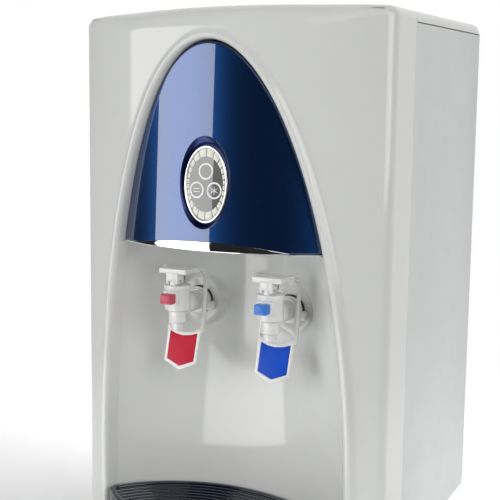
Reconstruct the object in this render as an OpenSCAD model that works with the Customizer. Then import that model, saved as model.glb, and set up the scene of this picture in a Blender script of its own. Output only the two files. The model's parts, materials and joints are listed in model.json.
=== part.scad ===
// Countertop water dispenser with a hot and a cold push tap, fed by a bottle that stands on its top.
// Millimetres, +Z up. The front faces -Y. The origin is on the table, under the middle of the whole object.

/* [Housing] */
// Width across the two side panels
body_w = 300; // [296:1:310]
// Height of the front panel's top edge above the table
body_h = 500; // [496:1:510]
// Depth from the middle of the front face to the rear panel
body_d = 320; // [316:1:330]
// How far the middle of the bowed front stands forward of its corners
bow = 43; // [40:1:46]
// Radius of the two upright front corners
corner_r = 14; // [10:1:18]
// Wall thickness of the moulded panels
wall = 2.5; // [2:0.1:3]
// Height of the rubber feet
foot_h = 8; // [6:1:10]
// Distance from the middle of the front face back to the side panels' front edges
seam_back = 95; // [94:1:100]

/* [Arch and niche] */
// Half the width of the arch where its sides are upright
arch_half = 120; // [118:1:121]
// Height of the half-ellipse that tops the arch
arch_rise = 400; // [395:1:402]
// Height at which the arch's sides start to lean in
arch_z = 72; // [70:1:75]
// Width of the raised bead round the arch
bead_w = 7; // [5:0.5:8]
// How far the bead stands forward of the front face
bead_proud = 3; // [2:0.5:4]
// Distance from the middle of the front face to the back of the niche
niche_back = 91; // [90:0.5:92]
// Height of the shelf that the drip tray stands on
shelf_z = 28; // [26:1:30]
// Height of the niche's ceiling
ceiling_z = 292.5; // [291:0.5:293]

/* [Dome] */
// How far the dome stands forward of the front face at its lower edge
dome_proud = 6; // [5:0.5:8]
// Radius of the dome across its width
dome_r = 165; // [160:1:170]
// Angle by which the dome leans back
dome_tilt = 2.7; // [2.4:0.1:3]
// Gap between the dome and the arch
dome_gap = 1.5; // [1:0.1:2]

/* [Taps] */
// Distance of each tap from the middle
tap_x = 46.5; // [45:0.5:48]
// Distance from the middle of the front face to the tap barrels' axis
tap_back = 35; // [34:0.5:36]
// Height of the taps' pipe axis
pipe_z = 232; // [231:0.5:234]
// Radius of the pin that each lever turns on
pin_r = 1.5; // [1.4:0.05:1.6]
// Radial running clearance of a lever on its pin
pin_play = 0.05; // [0.03:0.01:0.08]

/* [Bottle seat and tanks] */
// Distance from the middle of the front face to the axis of bottle and cold tank
seat_back = 185; // [183:1:188]
// Radius of the opening that takes the bottle's neck
neck_r = 29; // [28.5:0.1:29.5]
// Radius of the cold tank
cold_r = 73; // [70:1:74]
// Radius of the hot tank
hot_r = 50; // [46:1:51]

/* [Hidden] */
$fn = 72;
tray_reach = 28;
rear_reach = 24;
depth_all = tray_reach + body_d + rear_reach;
front_y = tray_reach - depth_all / 2;
rear_y = front_y + body_d;
seam_y = front_y + seam_back;

bow_r = (pow(body_w / 2, 2) + pow(bow, 2)) / (2 * bow);
bow_cy = front_y + bow_r;
corner_x = body_w / 2 - corner_r;
corner_y = bow_cy - sqrt(pow(bow_r - corner_r, 2) - pow(corner_x, 2));

niche_half = arch_half - 1;
niche_sag = niche_back - (bow_r - sqrt(pow(bow_r, 2) - pow(niche_half, 2)));
niche_r = (pow(niche_half, 2) + pow(niche_sag, 2)) / (2 * niche_sag);
niche_cy = front_y + niche_back - niche_r;

dome_z = ceiling_z;
dome_depth = 14;
crescent_half = 78;
crescent_rise = 8;
crescent_r = (pow(crescent_half, 2) + pow(crescent_rise, 2)) / (2 * crescent_rise);

display_z = 349.7;
recess_a = 24.3;
recess_b = 39.8;
recess_up = 1.5;
face_a = 19;
face_b = 31.4;
ring_a = face_a + 1.7;
ring_b = face_b + 1.9;
lamp_r = 7.2;
lamp_at = [[0, 11.2], [-8.4, -5], [8.4, -5]];
segment_n = 24;

tap_y = front_y + tap_back;
pad_y = 46;
pad_r = 19.6;
fold = 10;
screw_x = [-132, 132];
screw_z = [20, 250, 478];
tail_end = 70;
barrel_r = 11.75;
barrel_top = 253.5;
chamber_r = 7;
chamber_floor = 230.3;
lever_pin_y = -6;
lever_pin_z = 257.5;
paddle_y = 12.4;
paddle_z = 206;
paddle_tilt = -16.7;
button_z = 242.6;

tray_z = shelf_z + 0.3;
basin_top = 46;
grille_z = 46.3;
grille_top = 50;
tray_half = 115;
tray_sag = 48;
tray_r = (pow(112, 2) + pow(tray_sag, 2)) / (2 * tray_sag);
tray_cy = front_y - tray_reach + tray_r;

seat_y = front_y + seat_back;
hot_x = -75;
hot_y = 60;
comp_x = 70;
comp_y = 75;
condenser_y = rear_y + rear_reach - 4.1;
condenser_rows = 12;
condenser_pitch = 26;
condenser_half = 112;
pipe_out_x = 124;
pipe_low_z = 130;
pipe_high_z = pipe_low_z + (condenser_rows - 1) * condenser_pitch;
coil_out = [for (turn = [20, 60]) [(cold_r + 3.6) * cos(turn), seat_y + (cold_r + 3.6) * sin(turn)]];
switch_x = [-72, -50];
switch_z = 62;
rocker_lean = 10;
inlet_x = -112;
drain_x = -20;
drain_z = 46;

// ---- outlines ----

// Plan of the housing: bowed front, round corners, straight sides back to y = back
module plan(inset, back) {
    touch = (bow_r - inset) * corner_x / (bow_r - corner_r);
    intersection() {
        translate([0, bow_cy]) circle(bow_r - inset, $fn = 240);
        translate([-touch, front_y - 1]) square([2 * touch, back - front_y + 1]);
    }
    for (side = [-1, 1]) translate([side * corner_x, corner_y]) circle(corner_r - inset);
    translate([inset - body_w / 2, corner_y]) square([body_w - 2 * inset, back - corner_y]);
}

// Round plate of the bowed front, thick mm deep behind a surface that stands proud of the face
module bow_slab(proud, thick, low, high) {
    translate([0, bow_cy, low]) difference() {
        cylinder(r = bow_r + proud, h = high - low, $fn = 240);
        translate([0, 0, -1]) cylinder(r = bow_r + proud - thick, h = high - low + 2, $fn = 240);
    }
}

function ellipse(a, b, n) = [for (i = [0:n - 1]) [a * cos(360 * i / n), b * sin(360 * i / n)]];
function arch_points(o) = concat(
    [for (t = [0:4:180]) [(arch_half + o) * cos(t), arch_z + (arch_rise + o) * sin(t)]],
    [[-(arch_half + o), 0], [arch_half + o, 0]]);

// Upright outline (x, z) pushed along Y between two depths
module along_y(near, far) {
    translate([0, far, 0]) rotate([90, 0, 0]) linear_extrude(far - near) children();
}

module arch(o, near, far) { along_y(near, far) polygon(arch_points(o)); }

// Rod between two points
module rod(a, b, r) {
    v = b - a;
    lean = atan2(norm([v[0], v[1]]), v[2]);
    translate(a) rotate([0, lean, atan2(v[1], v[0])]) cylinder(r = r, h = norm(v), $fn = 32);
}

// Tube run through points, with ball elbows a little fatter than the tube
module tube_run(points, r) {
    for (i = [0:len(points) - 2]) rod(points[i], points[i + 1], r);
    for (i = [1:len(points) - 2]) translate(points[i]) sphere(r + 1.4, $fn = 32);
}

// Cylinder along Y from y = near to y = far
module y_cyl(r, near, far) { translate([0, far, 0]) rotate([90, 0, 0]) cylinder(r = r, h = far - near); }

module screw_holes() {
    for (x = screw_x, z = screw_z) translate([x, rear_y, z]) y_cyl(1.7, -12, 5);
}

// ---- housing ----

module base_pan() color("lightgray") {
    difference() {
        translate([0, 0, foot_h]) linear_extrude(16) plan(fold + 0.4, rear_y - 2);
        translate([0, 0, foot_h + 1.5]) linear_extrude(16) plan(fold + 1.9, rear_y - 3.5);
        screw_holes();
    }
}

module feet() color("dimgray") {
    for (x = [-115, 115], y = [front_y + 70, rear_y - 28]) translate([x, y, 0]) cylinder(r = 13, h = foot_h);
}

module tap_pads(r, near, far) {
    for (side = [-1, 1]) translate([side * tap_x, tap_y, pipe_z]) y_cyl(r, near, far);
}

module niche_hollow(low, grow) {
    intersection() {
        translate([0, niche_cy, low]) cylinder(r = niche_r + grow, h = ceiling_z + grow - low, $fn = 240);
        arch(grow, front_y - 40, front_y + 130);
    }
}

module front_panel() color("whitesmoke") {
    difference() {
        translate([0, 0, foot_h]) linear_extrude(body_h - foot_h) plan(0, seam_y);
        translate([0, 0, foot_h - 1]) linear_extrude(body_h - foot_h - wall + 1) plan(wall, seam_y + 1);
        translate([0, 0, shelf_z]) intersection() {
            arch_above_shelf();
            translate([-200, front_y - 40, 0]) cube([400, 110, body_h]);
        }
    }
    // niche: back wall, ceiling, shelf and the two flats that the taps stand on
    intersection() {
        translate([0, 0, foot_h]) linear_extrude(body_h) plan(0.4, rear_y);
        difference() {
            union() {
                niche_hollow(shelf_z - wall, wall);
                intersection() {
                    tap_pads(pad_r + 2, 20, pad_y + 9);
                    arch(wall, front_y, front_y + 130);
                }
            }
            difference() {
                niche_hollow(shelf_z, 0);
                tap_pads(pad_r, pad_y, pad_y + 20);
            }
            tap_pads(pad_r, 0, pad_y);
            tap_pads(6.2, 0, pad_y + 30);
            dome_seat();
        }
    }
    // raised bead round the arch
    intersection() {
        difference() {
            arch(bead_w, front_y - 20, front_y + 60);
            arch(0, front_y - 21, front_y + 61);
        }
        bow_slab(bead_proud, bead_proud + 1, shelf_z, body_h);
    }
}

// Room in the front of the ceiling for the dome's lower edge
module dome_seat() {
    intersection() {
        translate([0, bow_cy, ceiling_z - 0.5]) difference() {
            cylinder(r = bow_r + 5, h = wall + 1, $fn = 240);
            translate([0, 0, -1]) cylinder(r = bow_r - dome_depth - 0.5, h = wall + 3, $fn = 240);
        }
        arch(0, front_y - 30, front_y + 130);
    }
}

module arch_above_shelf() {
    translate([0, 0, -shelf_z]) intersection() {
        arch(0, front_y - 30, front_y + 60);
        translate([-200, front_y - 40, shelf_z]) cube([400, 200, body_h]);
    }
}

// Bent sheet: flat outside, edges folded inwards all round
module side_panel(side) {
    sheet = 1.5;
    length = rear_y - seam_y - 2.4;
    height = body_h - foot_h - 12.4;
    translate([side > 0 ? body_w / 2 - fold : -body_w / 2, seam_y + 0.4, foot_h + 0.2]) difference() {
        cube([fold, length, height]);
        translate([side > 0 ? -1 : sheet, sheet, sheet])
            cube([fold - sheet + 1, length - 2 * sheet, height - 2 * sheet]);
    }
}

module side_panel_left() color("white") side_panel(-1);

module side_panel_right() color("white") side_panel(1);

module top_cover() color("white") {
    difference() {
        translate([0, 0, body_h - 11.5]) linear_extrude(11.5) intersection() {
            plan(0, rear_y);
            translate([-200, seam_y + 0.4]) square([400, 400]);
        }
        translate([0, 0, body_h - 12.5]) linear_extrude(10) intersection() {
            plan(wall, rear_y - wall);
            translate([-200, seam_y + 2.4]) square([400, 400]);
        }
        translate([0, seat_y, body_h - 20]) cylinder(r = 72, h = 40);
    }
}

module rear_panel() color("gainsboro") {
    difference() {
        translate([1.8 - body_w / 2, rear_y - 1.6, foot_h + 2])
            cube([body_w - 3.6, 1.2, body_h - foot_h - 14]);
        for (z = [92:12:188], x = [18, 78])
            translate([x, rear_y - 5, z]) cube([48, 10, 4]);
        for (z = [400:12:460], x = [-118, 70])
            translate([x, rear_y - 5, z]) cube([48, 10, 4]);
        translate([inlet_x - 13.6, rear_y - 5, switch_z - 9.6]) cube([27.2, 10, 19.2]);
        translate([switch_x[0] - 9, rear_y - 5, switch_z - 11])
            cube([switch_x[1] - switch_x[0] + 18, 10, 22]);
        translate([drain_x, rear_y, drain_z]) y_cyl(8.2, -5, 5);
        screw_holes();
        for (z = [pipe_low_z, pipe_high_z]) translate([pipe_out_x, rear_y, z]) y_cyl(4, -5, 5);
    }
}

// ---- dome and display ----

module dome_solid(shrink, low) {
    intersection() {
        arch(-dome_gap - shrink, front_y - 60, front_y + 120);
        translate([0, front_y - dome_proud, dome_z]) rotate([-dome_tilt, 0, 0])
            translate([0, dome_r, -40]) cylinder(r = dome_r - shrink, h = 300, $fn = 240);
        translate([-200, front_y - 60, low]) cube([400, 200, 300]);
    }
}

// Frame on the dome's face at the display: -Y points out of the face
module on_dome() {
    up = display_z - dome_z;
    translate([0, front_y - dome_proud + up * tan(dome_tilt), display_z])
        rotate([-dome_tilt, 0, 0]) children();
}

module oval(a, b, near, far) { along_y(near, far) polygon(ellipse(a, b, 64)); }

// Upright prism whose top is the arc of the chrome lip
module crescent(grow) {
    along_y(front_y - 60, front_y + 60) intersection() {
        translate([0, dome_z + crescent_rise - crescent_r]) circle(crescent_r + grow, $fn = 240);
        translate([-150, dome_z - 1]) square([300, 60]);
    }
}

module dome_cover() color("navy") {
    difference() {
        dome_solid(0, dome_z);
        dome_solid(wall, dome_z + wall);
        translate([0, bow_cy, 0]) cylinder(r = bow_r - dome_depth, h = body_h, $fn = 240);
        on_dome() translate([0, 0, recess_up]) oval(recess_a, recess_b, -5, 20);
        difference() {
            crescent(0.2);
            dome_solid(1.2, dome_z - 2);
        }
    }
}

module dome_trim() color("silver") {
    intersection() {
        crescent(0);
        difference() {
            dome_solid(0.05, dome_z);
            dome_solid(1.2, dome_z - 2);
        }
        arch(-dome_gap - 3, front_y - 60, front_y + 60);
    }
}

module display_housing() color("midnightblue") {
    intersection() {
        dome_solid(0.05, dome_z);
        on_dome() difference() {
            translate([0, 0, recess_up]) oval(recess_a - 0.1, recess_b - 0.1, -2, 9);
            translate([0, 0, recess_up]) oval(recess_a - 1.2, recess_b - 1.6, -3, 2.4);
            oval(ring_a + 0.2, ring_b + 0.2, -3, 7.5);
        }
    }
}

module display_ring() color("silver") on_dome() {
    difference() {
        oval(ring_a, ring_b, 3.4, 6);
        oval(face_a, face_b, 3, 7);
    }
}

module display_face() color("darkgray") on_dome() {
    oval(face_a - 0.05, face_b - 0.05, 4.2, 6);
    oval(ring_a, ring_b, 6, 7.4);
}

module display_segments() color("ivory") on_dome() {
    difference() {
        oval(face_a - 0.8, face_b - 0.8, 3.8, 4.2);
        oval(face_a - 2.7, face_b - 8, 3, 5);
        for (i = [0:segment_n / 2 - 1]) rotate([0, 360 * (i + 0.5) / segment_n, 0])
            translate([-0.45, 3, -60]) cube([0.9, 2, 120]);
    }
}

module lamp_marks() color("white") on_dome() {
    for (at = lamp_at) translate([at[0], 0, at[1]]) difference() {
        y_cyl(lamp_r, 3.8, 4.2);
        y_cyl(lamp_r - 1.4, 3, 5);
    }
    // heat mark: two level bars
    for (z = [-1.1, 1.1]) translate([lamp_at[1][0] - 3, 3.8, lamp_at[1][1] + z - 0.4]) cube([6, 0.4, 0.8]);
    // cold mark: six-armed star
    translate([lamp_at[2][0], 0, lamp_at[2][1]]) for (turn = [0, 60, 120]) rotate([0, turn, 0])
        translate([-0.35, 3.8, -4]) cube([0.7, 0.4, 8]);
}

module display_board() color("darkgreen") on_dome() {
    translate([-17, 13, -26]) cube([34, 1.6, 52]);
    for (at = lamp_at) translate([at[0], 0, at[1]]) y_cyl(2.5, 9.2, 13);
    translate([-6, 14.6, -20]) cube([12, 1.4, 9]);
    translate([-8, 14.6, 12]) cube([16, 5, 6]);
}

// ---- taps ----

module at_tap(side) { translate([side * tap_x, tap_y, 0]) children(); }

module tap_body() {
    difference() {
        union() {
            translate([0, 0, chamber_floor - 0.3])
                cylinder(r = barrel_r, h = barrel_top - chamber_floor + 0.3);
            translate([0, 0, barrel_top - 4.5]) cylinder(r = barrel_r + 0.6, h = 4.5);
            translate([0, 0, 218]) cylinder(r = 8, h = 14);
            translate([0, 0, 211]) cylinder(r = 5.8, h = 8);
            translate([0, 0, pipe_z + 3]) y_cyl(10.5, 6, 19);
            translate([0, 0, pipe_z]) y_cyl(8, 6, 38.4);
            translate([0, 0, pipe_z]) y_cyl(11.5, 36, 38.4);
            translate([0, 0, pipe_z]) y_cyl(5.9, 36, tail_end);
            // short sleeve that guides the button
            translate([-7.3, -14.2, button_z - 6.1]) cube([14.6, 8, 12.2]);
            // lug that carries the pin
            translate([-2.9, lever_pin_y - 3.4, barrel_top - 1])
                cube([5.8, 6.4, lever_pin_z - barrel_top + 1]);
            translate([-2.9, lever_pin_y, lever_pin_z]) rotate([0, 90, 0]) cylinder(r = 3, h = 5.8);
        }
        translate([0, 0, chamber_floor]) cylinder(r = chamber_r, h = 19.7);
        translate([0, 0, 210]) cylinder(r = 4.2, h = 21);
        translate([0, 0, 249]) cylinder(r = 2.6, h = 6);
        translate([0, 0, pipe_z + 5]) y_cyl(3.5, 0, 10);
        translate([0, 0, pipe_z]) y_cyl(3.5, 8, tail_end + 1);
        translate([0, 0, pipe_z + 2.5]) y_cyl(3.5, 6, 12);
        translate([-6, -15, button_z - 4.7]) cube([12, 6.6, 9.4]);
        translate([-5, lever_pin_y, lever_pin_z]) rotate([0, 90, 0]) cylinder(r = pin_r, h = 10);
    }
}

module tap_nut() {
    difference() {
        union() {
            translate([0, 0, pipe_z]) y_cyl(13, 38.6, 41);
            translate([0, 0, pipe_z]) y_cyl(12, 41, 44.4);
            translate([10, 38.6, pipe_z - 9]) cube([7, 5.8, 9]);
        }
        translate([0, 0, pipe_z]) y_cyl(6, 38, 45);
    }
}

module tap_gasket() {
    difference() {
        translate([0, 0, pipe_z]) y_cyl(13.4, 44.4, pad_y);
        translate([0, 0, pipe_z]) y_cyl(6, 44, pad_y + 1);
    }
}

// Outline (x, z) of the paddle, o mm outside its coloured patch
module paddle_outline(o) {
    polygon([[-13.9 - o, o * 1.8], [-8, o - 2.2], [0, o - 3.2], [8, o - 2.2], [13.9 + o, o * 1.8],
             [13.6 + o * 0.9, -25.7 - o * 0.6], [0, -31.2 - o * 1.1], [-13.6 - o * 0.9, -25.7 - o * 0.6]]);
}

module on_paddle() { translate([0, paddle_y, paddle_z]) rotate([paddle_tilt, 0, 0]) children(); }

module lever() {
    difference() {
        union() {
            // top plate, wider at its back where the arms start
            translate([-14, -10, 264]) cube([28, 22.1, 5]);
            translate([-18.5, 6, 264.5]) cube([37, 6.1, 4.5]);
            translate([-6, lever_pin_y - 5, 255]) cube([12, 19.5, 9.1]);
            for (x = [-18.5, 15.5]) translate([x, 0, 0]) lever_arm();
            on_paddle() along_y(0, 3) paddle_outline(3.6);
        }
        // slot for the lug, well for the stem's head and the stem's way through the web
        translate([-3.2, lever_pin_y - 6, 254]) cube([6.4, 9.6, 4]);
        translate([-3.2, lever_pin_y - 4.1, 257]) cube([6.4, 7.7, 6]);
        translate([-4.3, -2.5, 258.5]) cube([8.6, 9, 4.8]);
        translate([0, 0, 254]) cylinder(r = 2.9, h = 6);
        translate([-8, lever_pin_y, lever_pin_z]) rotate([0, 90, 0]) cylinder(r = pin_r + pin_play, h = 16);
        on_paddle() along_y(-1, 0.7) paddle_outline(0.1);
    }
}

// Side view (y, z) of one arm, 3 mm thick in X
module lever_arm() {
    rotate([90, 0, 90]) linear_extrude(3) {
        intersection() {
            translate([12, 256]) difference() {
                circle(13);
                circle(8.5);
            }
            translate([12, 256]) square(20);
        }
        polygon([[20.5, 256.1], [25, 256.1], [23.6, 226], [17.4, 204], [12.6, 204], [18.6, 226]]);
    }
}

module paddle_patch() { on_paddle() along_y(-0.5, 0.7) paddle_outline(0); }

module safety_button() {
    translate([-5.8, -22.6, button_z - 4.5]) cube([11.6, 11.4, 9]);
}

module lever_pin() {
    translate([-6.2, lever_pin_y, lever_pin_z]) rotate([0, 90, 0]) cylinder(r = pin_r, h = 12.4);
}

module valve_stem() {
    translate([0, 0, chamber_floor + 0.3]) cylinder(r = 6, h = 6.4);
    translate([0, 0, chamber_floor + 5]) cylinder(r = 2.2, h = 26);
    translate([0, 0, 259.6]) cylinder(r = 3.5, h = 2);
}

// Coil spring: round wire swept along a helix from z = 0 to z = height
module coil_spring(radius, wire, height, turns) {
    steps = turns * 20;
    sides = 8;
    lead = (height - 2 * wire) / turns;
    tilt = atan2(lead, 360 * radius * PI / 180);
    points = [for (i = [0:steps], j = [0:sides - 1])
        let (a = 360 * i / 20, b = 360 * j / sides, out = radius + wire * cos(b), up = wire * sin(b))
        [out * cos(a) + up * sin(tilt) * sin(a), out * sin(a) - up * sin(tilt) * cos(a),
         wire + lead * i / 20 + up * cos(tilt)]];
    walls = [for (i = [0:steps - 1], j = [0:sides - 1])
        let (k = (j + 1) % sides) [i * sides + j, (i + 1) * sides + j, (i + 1) * sides + k, i * sides + k]];
    ends = [[for (j = [0:sides - 1]) j], [for (j = [sides - 1:-1:0]) steps * sides + j]];
    polyhedron(points, concat(walls, ends));
}

module valve_spring() { translate([0, 0, chamber_floor + 7]) coil_spring(4.6, 0.5, 12.4, 5); }

module hot_tap_body() color("whitesmoke") at_tap(-1) tap_body();

module hot_tap_nut() color("white") at_tap(-1) tap_nut();

module hot_tap_gasket() color("black") at_tap(-1) tap_gasket();

module hot_lever() color("white") at_tap(-1) lever();

module hot_paddle_patch() color("crimson") at_tap(-1) paddle_patch();

module hot_button() color("crimson") at_tap(-1) safety_button();

module hot_lever_pin() color("silver") at_tap(-1) lever_pin();

module hot_valve_stem() color("ivory") at_tap(-1) valve_stem();

module hot_valve_spring() color("silver") at_tap(-1) valve_spring();

module cold_tap_body() color("whitesmoke") at_tap(1) tap_body();

module cold_tap_nut() color("white") at_tap(1) tap_nut();

module cold_tap_gasket() color("black") at_tap(1) tap_gasket();

module cold_lever() color("white") at_tap(1) lever();

module cold_paddle_patch() color("royalblue") at_tap(1) paddle_patch();

module cold_button() color("dodgerblue") at_tap(1) safety_button();

module cold_lever_pin() color("silver") at_tap(1) lever_pin();

module cold_valve_stem() color("ivory") at_tap(1) valve_stem();

module cold_valve_spring() color("silver") at_tap(1) valve_spring();

module tap_back_nuts() color("goldenrod") {
    for (side = [-1, 1]) at_tap(side) translate([0, 0, pipe_z]) difference() {
        translate([0, 61.2, 0]) rotate([90, 0, 0]) cylinder(r = 11, h = 6, $fn = 6);
        y_cyl(6, 50, 70);
    }
}

// ---- drip tray ----

module tray_plan(inset) {
    intersection() {
        translate([0, niche_cy]) circle(niche_r - 1.2 - inset, $fn = 240);
        translate([0, tray_cy]) circle(tray_r - inset, $fn = 240);
        translate([inset - tray_half, front_y - 60]) square([2 * (tray_half - inset), 200]);
    }
}

module drip_basin() color("midnightblue") {
    difference() {
        translate([0, 0, tray_z]) linear_extrude(basin_top - tray_z) tray_plan(0);
        translate([0, 0, tray_z + 2]) linear_extrude(40) tray_plan(2.2);
    }
}

module drip_grille() color("darkslateblue") {
    difference() {
        translate([0, 0, grille_z]) linear_extrude(grille_top - grille_z) tray_plan(0.2);
        translate([0, 0, grille_z - 1]) linear_extrude(20) tray_plan(6);
    }
    // arc slats that share the niche's centre
    intersection() {
        translate([0, 0, grille_z]) linear_extrude(grille_top - grille_z) tray_plan(5.5);
        translate([0, niche_cy, grille_z]) for (r = [niche_r - 12:-8:30]) difference() {
            cylinder(r = r, h = grille_top - grille_z - 0.4, $fn = 180);
            translate([0, 0, -1]) cylinder(r = r - 4.2, h = 10, $fn = 180);
        }
    }
    // ribs under the slats and the locating lip inside the basin
    intersection() {
        translate([0, 0, grille_z]) linear_extrude(2) tray_plan(5.5);
        for (x = [-72, -24, 24, 72]) translate([x - 1.2, front_y - 60, grille_z]) cube([2.4, 200, 2]);
    }
    difference() {
        translate([0, 0, grille_z - 3]) linear_extrude(3.2) tray_plan(2.6);
        translate([0, 0, grille_z - 4]) linear_extrude(5) tray_plan(4.2);
    }
}

// ---- bottle seat and cold side ----

module bottle_seat() color("gainsboro") {
    translate([0, seat_y, 0]) rotate_extrude($fn = 96) polygon([
        [neck_r, 432], [neck_r + 2, 432], [neck_r + 2, 460], [60, 476], [71, 500.3], [82, 500.3], [84, 502],
        [82, 505], [69, 505], [57.5, 478], [neck_r, 462]]);
}

module cold_tank() color("silver") {
    translate([0, seat_y, 0]) difference() {
        translate([0, 0, 306]) cylinder(r = cold_r, h = 134);
        translate([0, 0, 307]) cylinder(r = cold_r - 1, h = 140);
        translate([tap_x, -27, 300]) cylinder(r = 3.5, h = 20);
        translate([-10, 53, 300]) cylinder(r = 3.5, h = 20);
    }
}

module cold_tank_lid() color("white") {
    translate([0, seat_y, 0]) rotate_extrude($fn = 96) polygon([
        [35, 438], [cold_r - 1.2, 438], [cold_r - 1.2, 440.2], [cold_r + 6, 440.2], [cold_r + 6, 443],
        [69.5, 443], [69.5, 482], [67.5, 482], [67.5, 443], [35, 443]]);
}

module cold_baffle() color("ivory") {
    translate([0, seat_y, 0]) {
        translate([0, 0, 385]) difference() {
            cylinder(r = cold_r - 4, h = 2);
            for (turn = [0:45:315]) rotate([0, 0, turn]) translate([50, 0, -1]) cylinder(r = 6, h = 4);
            translate([0, 0, -1]) cylinder(r = 6, h = 4);
        }
        difference() {
            translate([0, 0, 340]) cylinder(r = 9, h = 45.5);
            translate([0, 0, 339]) cylinder(r = 6, h = 60);
        }
    }
}

module cold_jacket() color("white") {
    translate([0, seat_y, 0]) difference() {
        translate([0, 0, 296]) cylinder(r = 95, h = 144);
        translate([0, 0, 306]) cylinder(r = 80.2, h = 140);
        translate([tap_x, -27, 294]) cylinder(r = 5.5, h = 26);
        translate([-10, 53, 294]) cylinder(r = 5.5, h = 26);
        for (at = coil_out) translate([at[0], at[1] - seat_y, 294]) cylinder(r = 3.2, h = 26);
    }
}

module evaporator_coil() color("peru") {
    translate([0, seat_y, 0]) {
        for (z = [316:11:404]) translate([0, 0, z]) rotate_extrude($fn = 96)
            translate([cold_r + 3.4, 0]) circle(3.2, $fn = 24);
    }
    for (at = coil_out) translate([at[0], at[1], 284]) cylinder(r = 2.4, h = 120);
}

// ---- hot side ----

module hot_tank() color("silver") {
    translate([hot_x, hot_y, 0]) {
        difference() {
            translate([0, 0, 122]) cylinder(r = hot_r, h = 128);
            translate([0, 0, 123]) cylinder(r = hot_r - 1, h = 126);
            translate([0, 0, 110]) cylinder(r = 3.5, h = 20);
            translate([0, 0, 240]) cylinder(r = 3.5, h = 20);
        }
        for (z = [112, 249.5]) translate([0, 0, z]) difference() {
            cylinder(r = 5, h = 10.5);
            translate([0, 0, -1]) cylinder(r = 3.5, h = 20);
        }
    }
}

module hot_jacket() color("lightsteelblue") {
    translate([hot_x, hot_y, 0]) difference() {
        translate([0, 0, 108]) cylinder(r = 62, h = 154);
        translate([0, 0, 118]) cylinder(r = hot_r + 4.5, h = 134);
        translate([0, 0, 100]) cylinder(r = 8, h = 30);
        translate([0, 0, 240]) cylinder(r = 8, h = 30);
    }
}

module heater_band() color("darkgray") {
    translate([hot_x, hot_y, 0]) difference() {
        union() {
            translate([0, 0, 140]) cylinder(r = hot_r + 3.2, h = 34);
            translate([hot_r + 0.5, -7, 144]) cube([3.1, 14, 26]);
        }
        translate([0, 0, 139]) cylinder(r = hot_r + 0.1, h = 40);
        translate([-70, -1.5, 139]) cube([30, 3, 40]);
    }
}

module thermostats() color("black") {
    translate([hot_x, hot_y, 0]) for (turn = [-40, 40]) rotate([0, 0, turn])
        translate([hot_r + 0.1, 0, 205]) rotate([0, 90, 0]) cylinder(r = 8, h = 3.6);
}

// ---- cooling machine ----

module compressor() color("dimgray") {
    translate([comp_x, comp_y, 0]) {
        translate([0, 0, 26]) cylinder(r = 54, h = 84);
        translate([0, 0, 78]) cylinder(r = 57, h = 5);
        translate([0, 0, 110]) intersection() {
            translate([0, 0, -70]) sphere(r = 88.5);
            cylinder(r = 54, h = 30);
        }
        difference() {
            translate([-62, -56, 22]) cube([124, 112, 4.2]);
            for (x = [-54, 54], y = [-48, 48]) translate([x, y, 20]) cylinder(r = 6.2, h = 10);
        }
        translate([-20, -66, 50]) cube([40, 18, 42]);
    }
}

module compressor_mounts() color("black") {
    translate([comp_x, comp_y, 0]) for (x = [-54, 54], y = [-48, 48]) translate([x, y, 0]) {
        translate([0, 0, foot_h + 1.5]) cylinder(r = 9, h = 12.4);
        translate([0, 0, foot_h + 12]) cylinder(r = 6, h = 9);
        translate([0, 0, 26.4]) cylinder(r = 9, h = 2.5);
    }
}

module condenser() color("black") {
    y = condenser_y;
    low = pipe_low_z;
    far = condenser_half;
    pitch = condenser_pitch;
    rows = condenser_rows;
    for (i = [0:rows - 1]) rod([-far, y, low + i * pitch], [far, y, low + i * pitch], 2.6);
    for (i = [0:rows - 2]) translate([i % 2 == 0 ? -far : far, y, low + (i + 0.5) * pitch])
        rotate([90, 0, 0]) rotate([0, 0, i % 2 == 0 ? 90 : -90]) rotate_extrude(angle = 180, $fn = 36)
            translate([pitch / 2, 0]) circle(2.6, $fn = 24);
    for (x = [-105:15:105], d = [-3.2, 3.2]) translate([x, y + d, low - 8])
        cylinder(r = 0.9, h = (rows - 1) * pitch + 16, $fn = 8);
    // stand-offs to the rear panel
    for (x = [-90, 90], z = [low, low + 8 * pitch]) translate([x - 4, rear_y - 0.4, z - 4])
        cube([8, y - rear_y + 0.4, 8]);
}

module refrigerant_lines() color("peru") {
    inside_y = rear_y - 12;
    // discharge to the condenser's lower end
    tube_run([[comp_x + 30, comp_y + 40, 115.1], [comp_x + 30, comp_y + 41, 140],
              [pipe_out_x, inside_y, pipe_low_z],
              [pipe_out_x, condenser_y, pipe_low_z], [condenser_half + 0.1, condenser_y, pipe_low_z]], 2.6);
    // condenser's upper end to the filter drier
    tube_run([[condenser_half + 0.1, condenser_y, pipe_high_z], [pipe_out_x, condenser_y, pipe_high_z],
              [pipe_out_x, inside_y, pipe_high_z], [128, 118, 300], [128, 118, 238]], 2.6);
    translate([128, 118, 170]) cylinder(r = 8, h = 70);
    // drier to the evaporator
    tube_run([[128, 118, 172], [128, 118, 158], [108, 112, 158], [108, 112, 272],
              [coil_out[0][0], coil_out[0][1], 272], [coil_out[0][0], coil_out[0][1], 283.9]], 1.8);
    // suction from the evaporator
    tube_run([[comp_x, comp_y - 40, 120.8], [comp_x + 10, comp_y - 50, 150], [100, 60, 265],
              [coil_out[1][0], coil_out[1][1], 265], [coil_out[1][0], coil_out[1][1], 283.9]], 3);
}

module control_board() color("seagreen") {
    translate([134, 10, 150]) cube([1.6, 90, 100]);
    translate([118, 20, 160]) cube([16, 28, 32]);
    for (y = [58, 76]) translate([120, y, 162]) cube([14, 14, 26]);
    translate([126, 24, 205]) cube([8, 60, 12]);
    for (y = [16, 90], z = [156, 240]) translate([135.6, y, z]) rotate([0, 90, 0]) cylinder(r = 3, h = 12.8);
}

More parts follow.
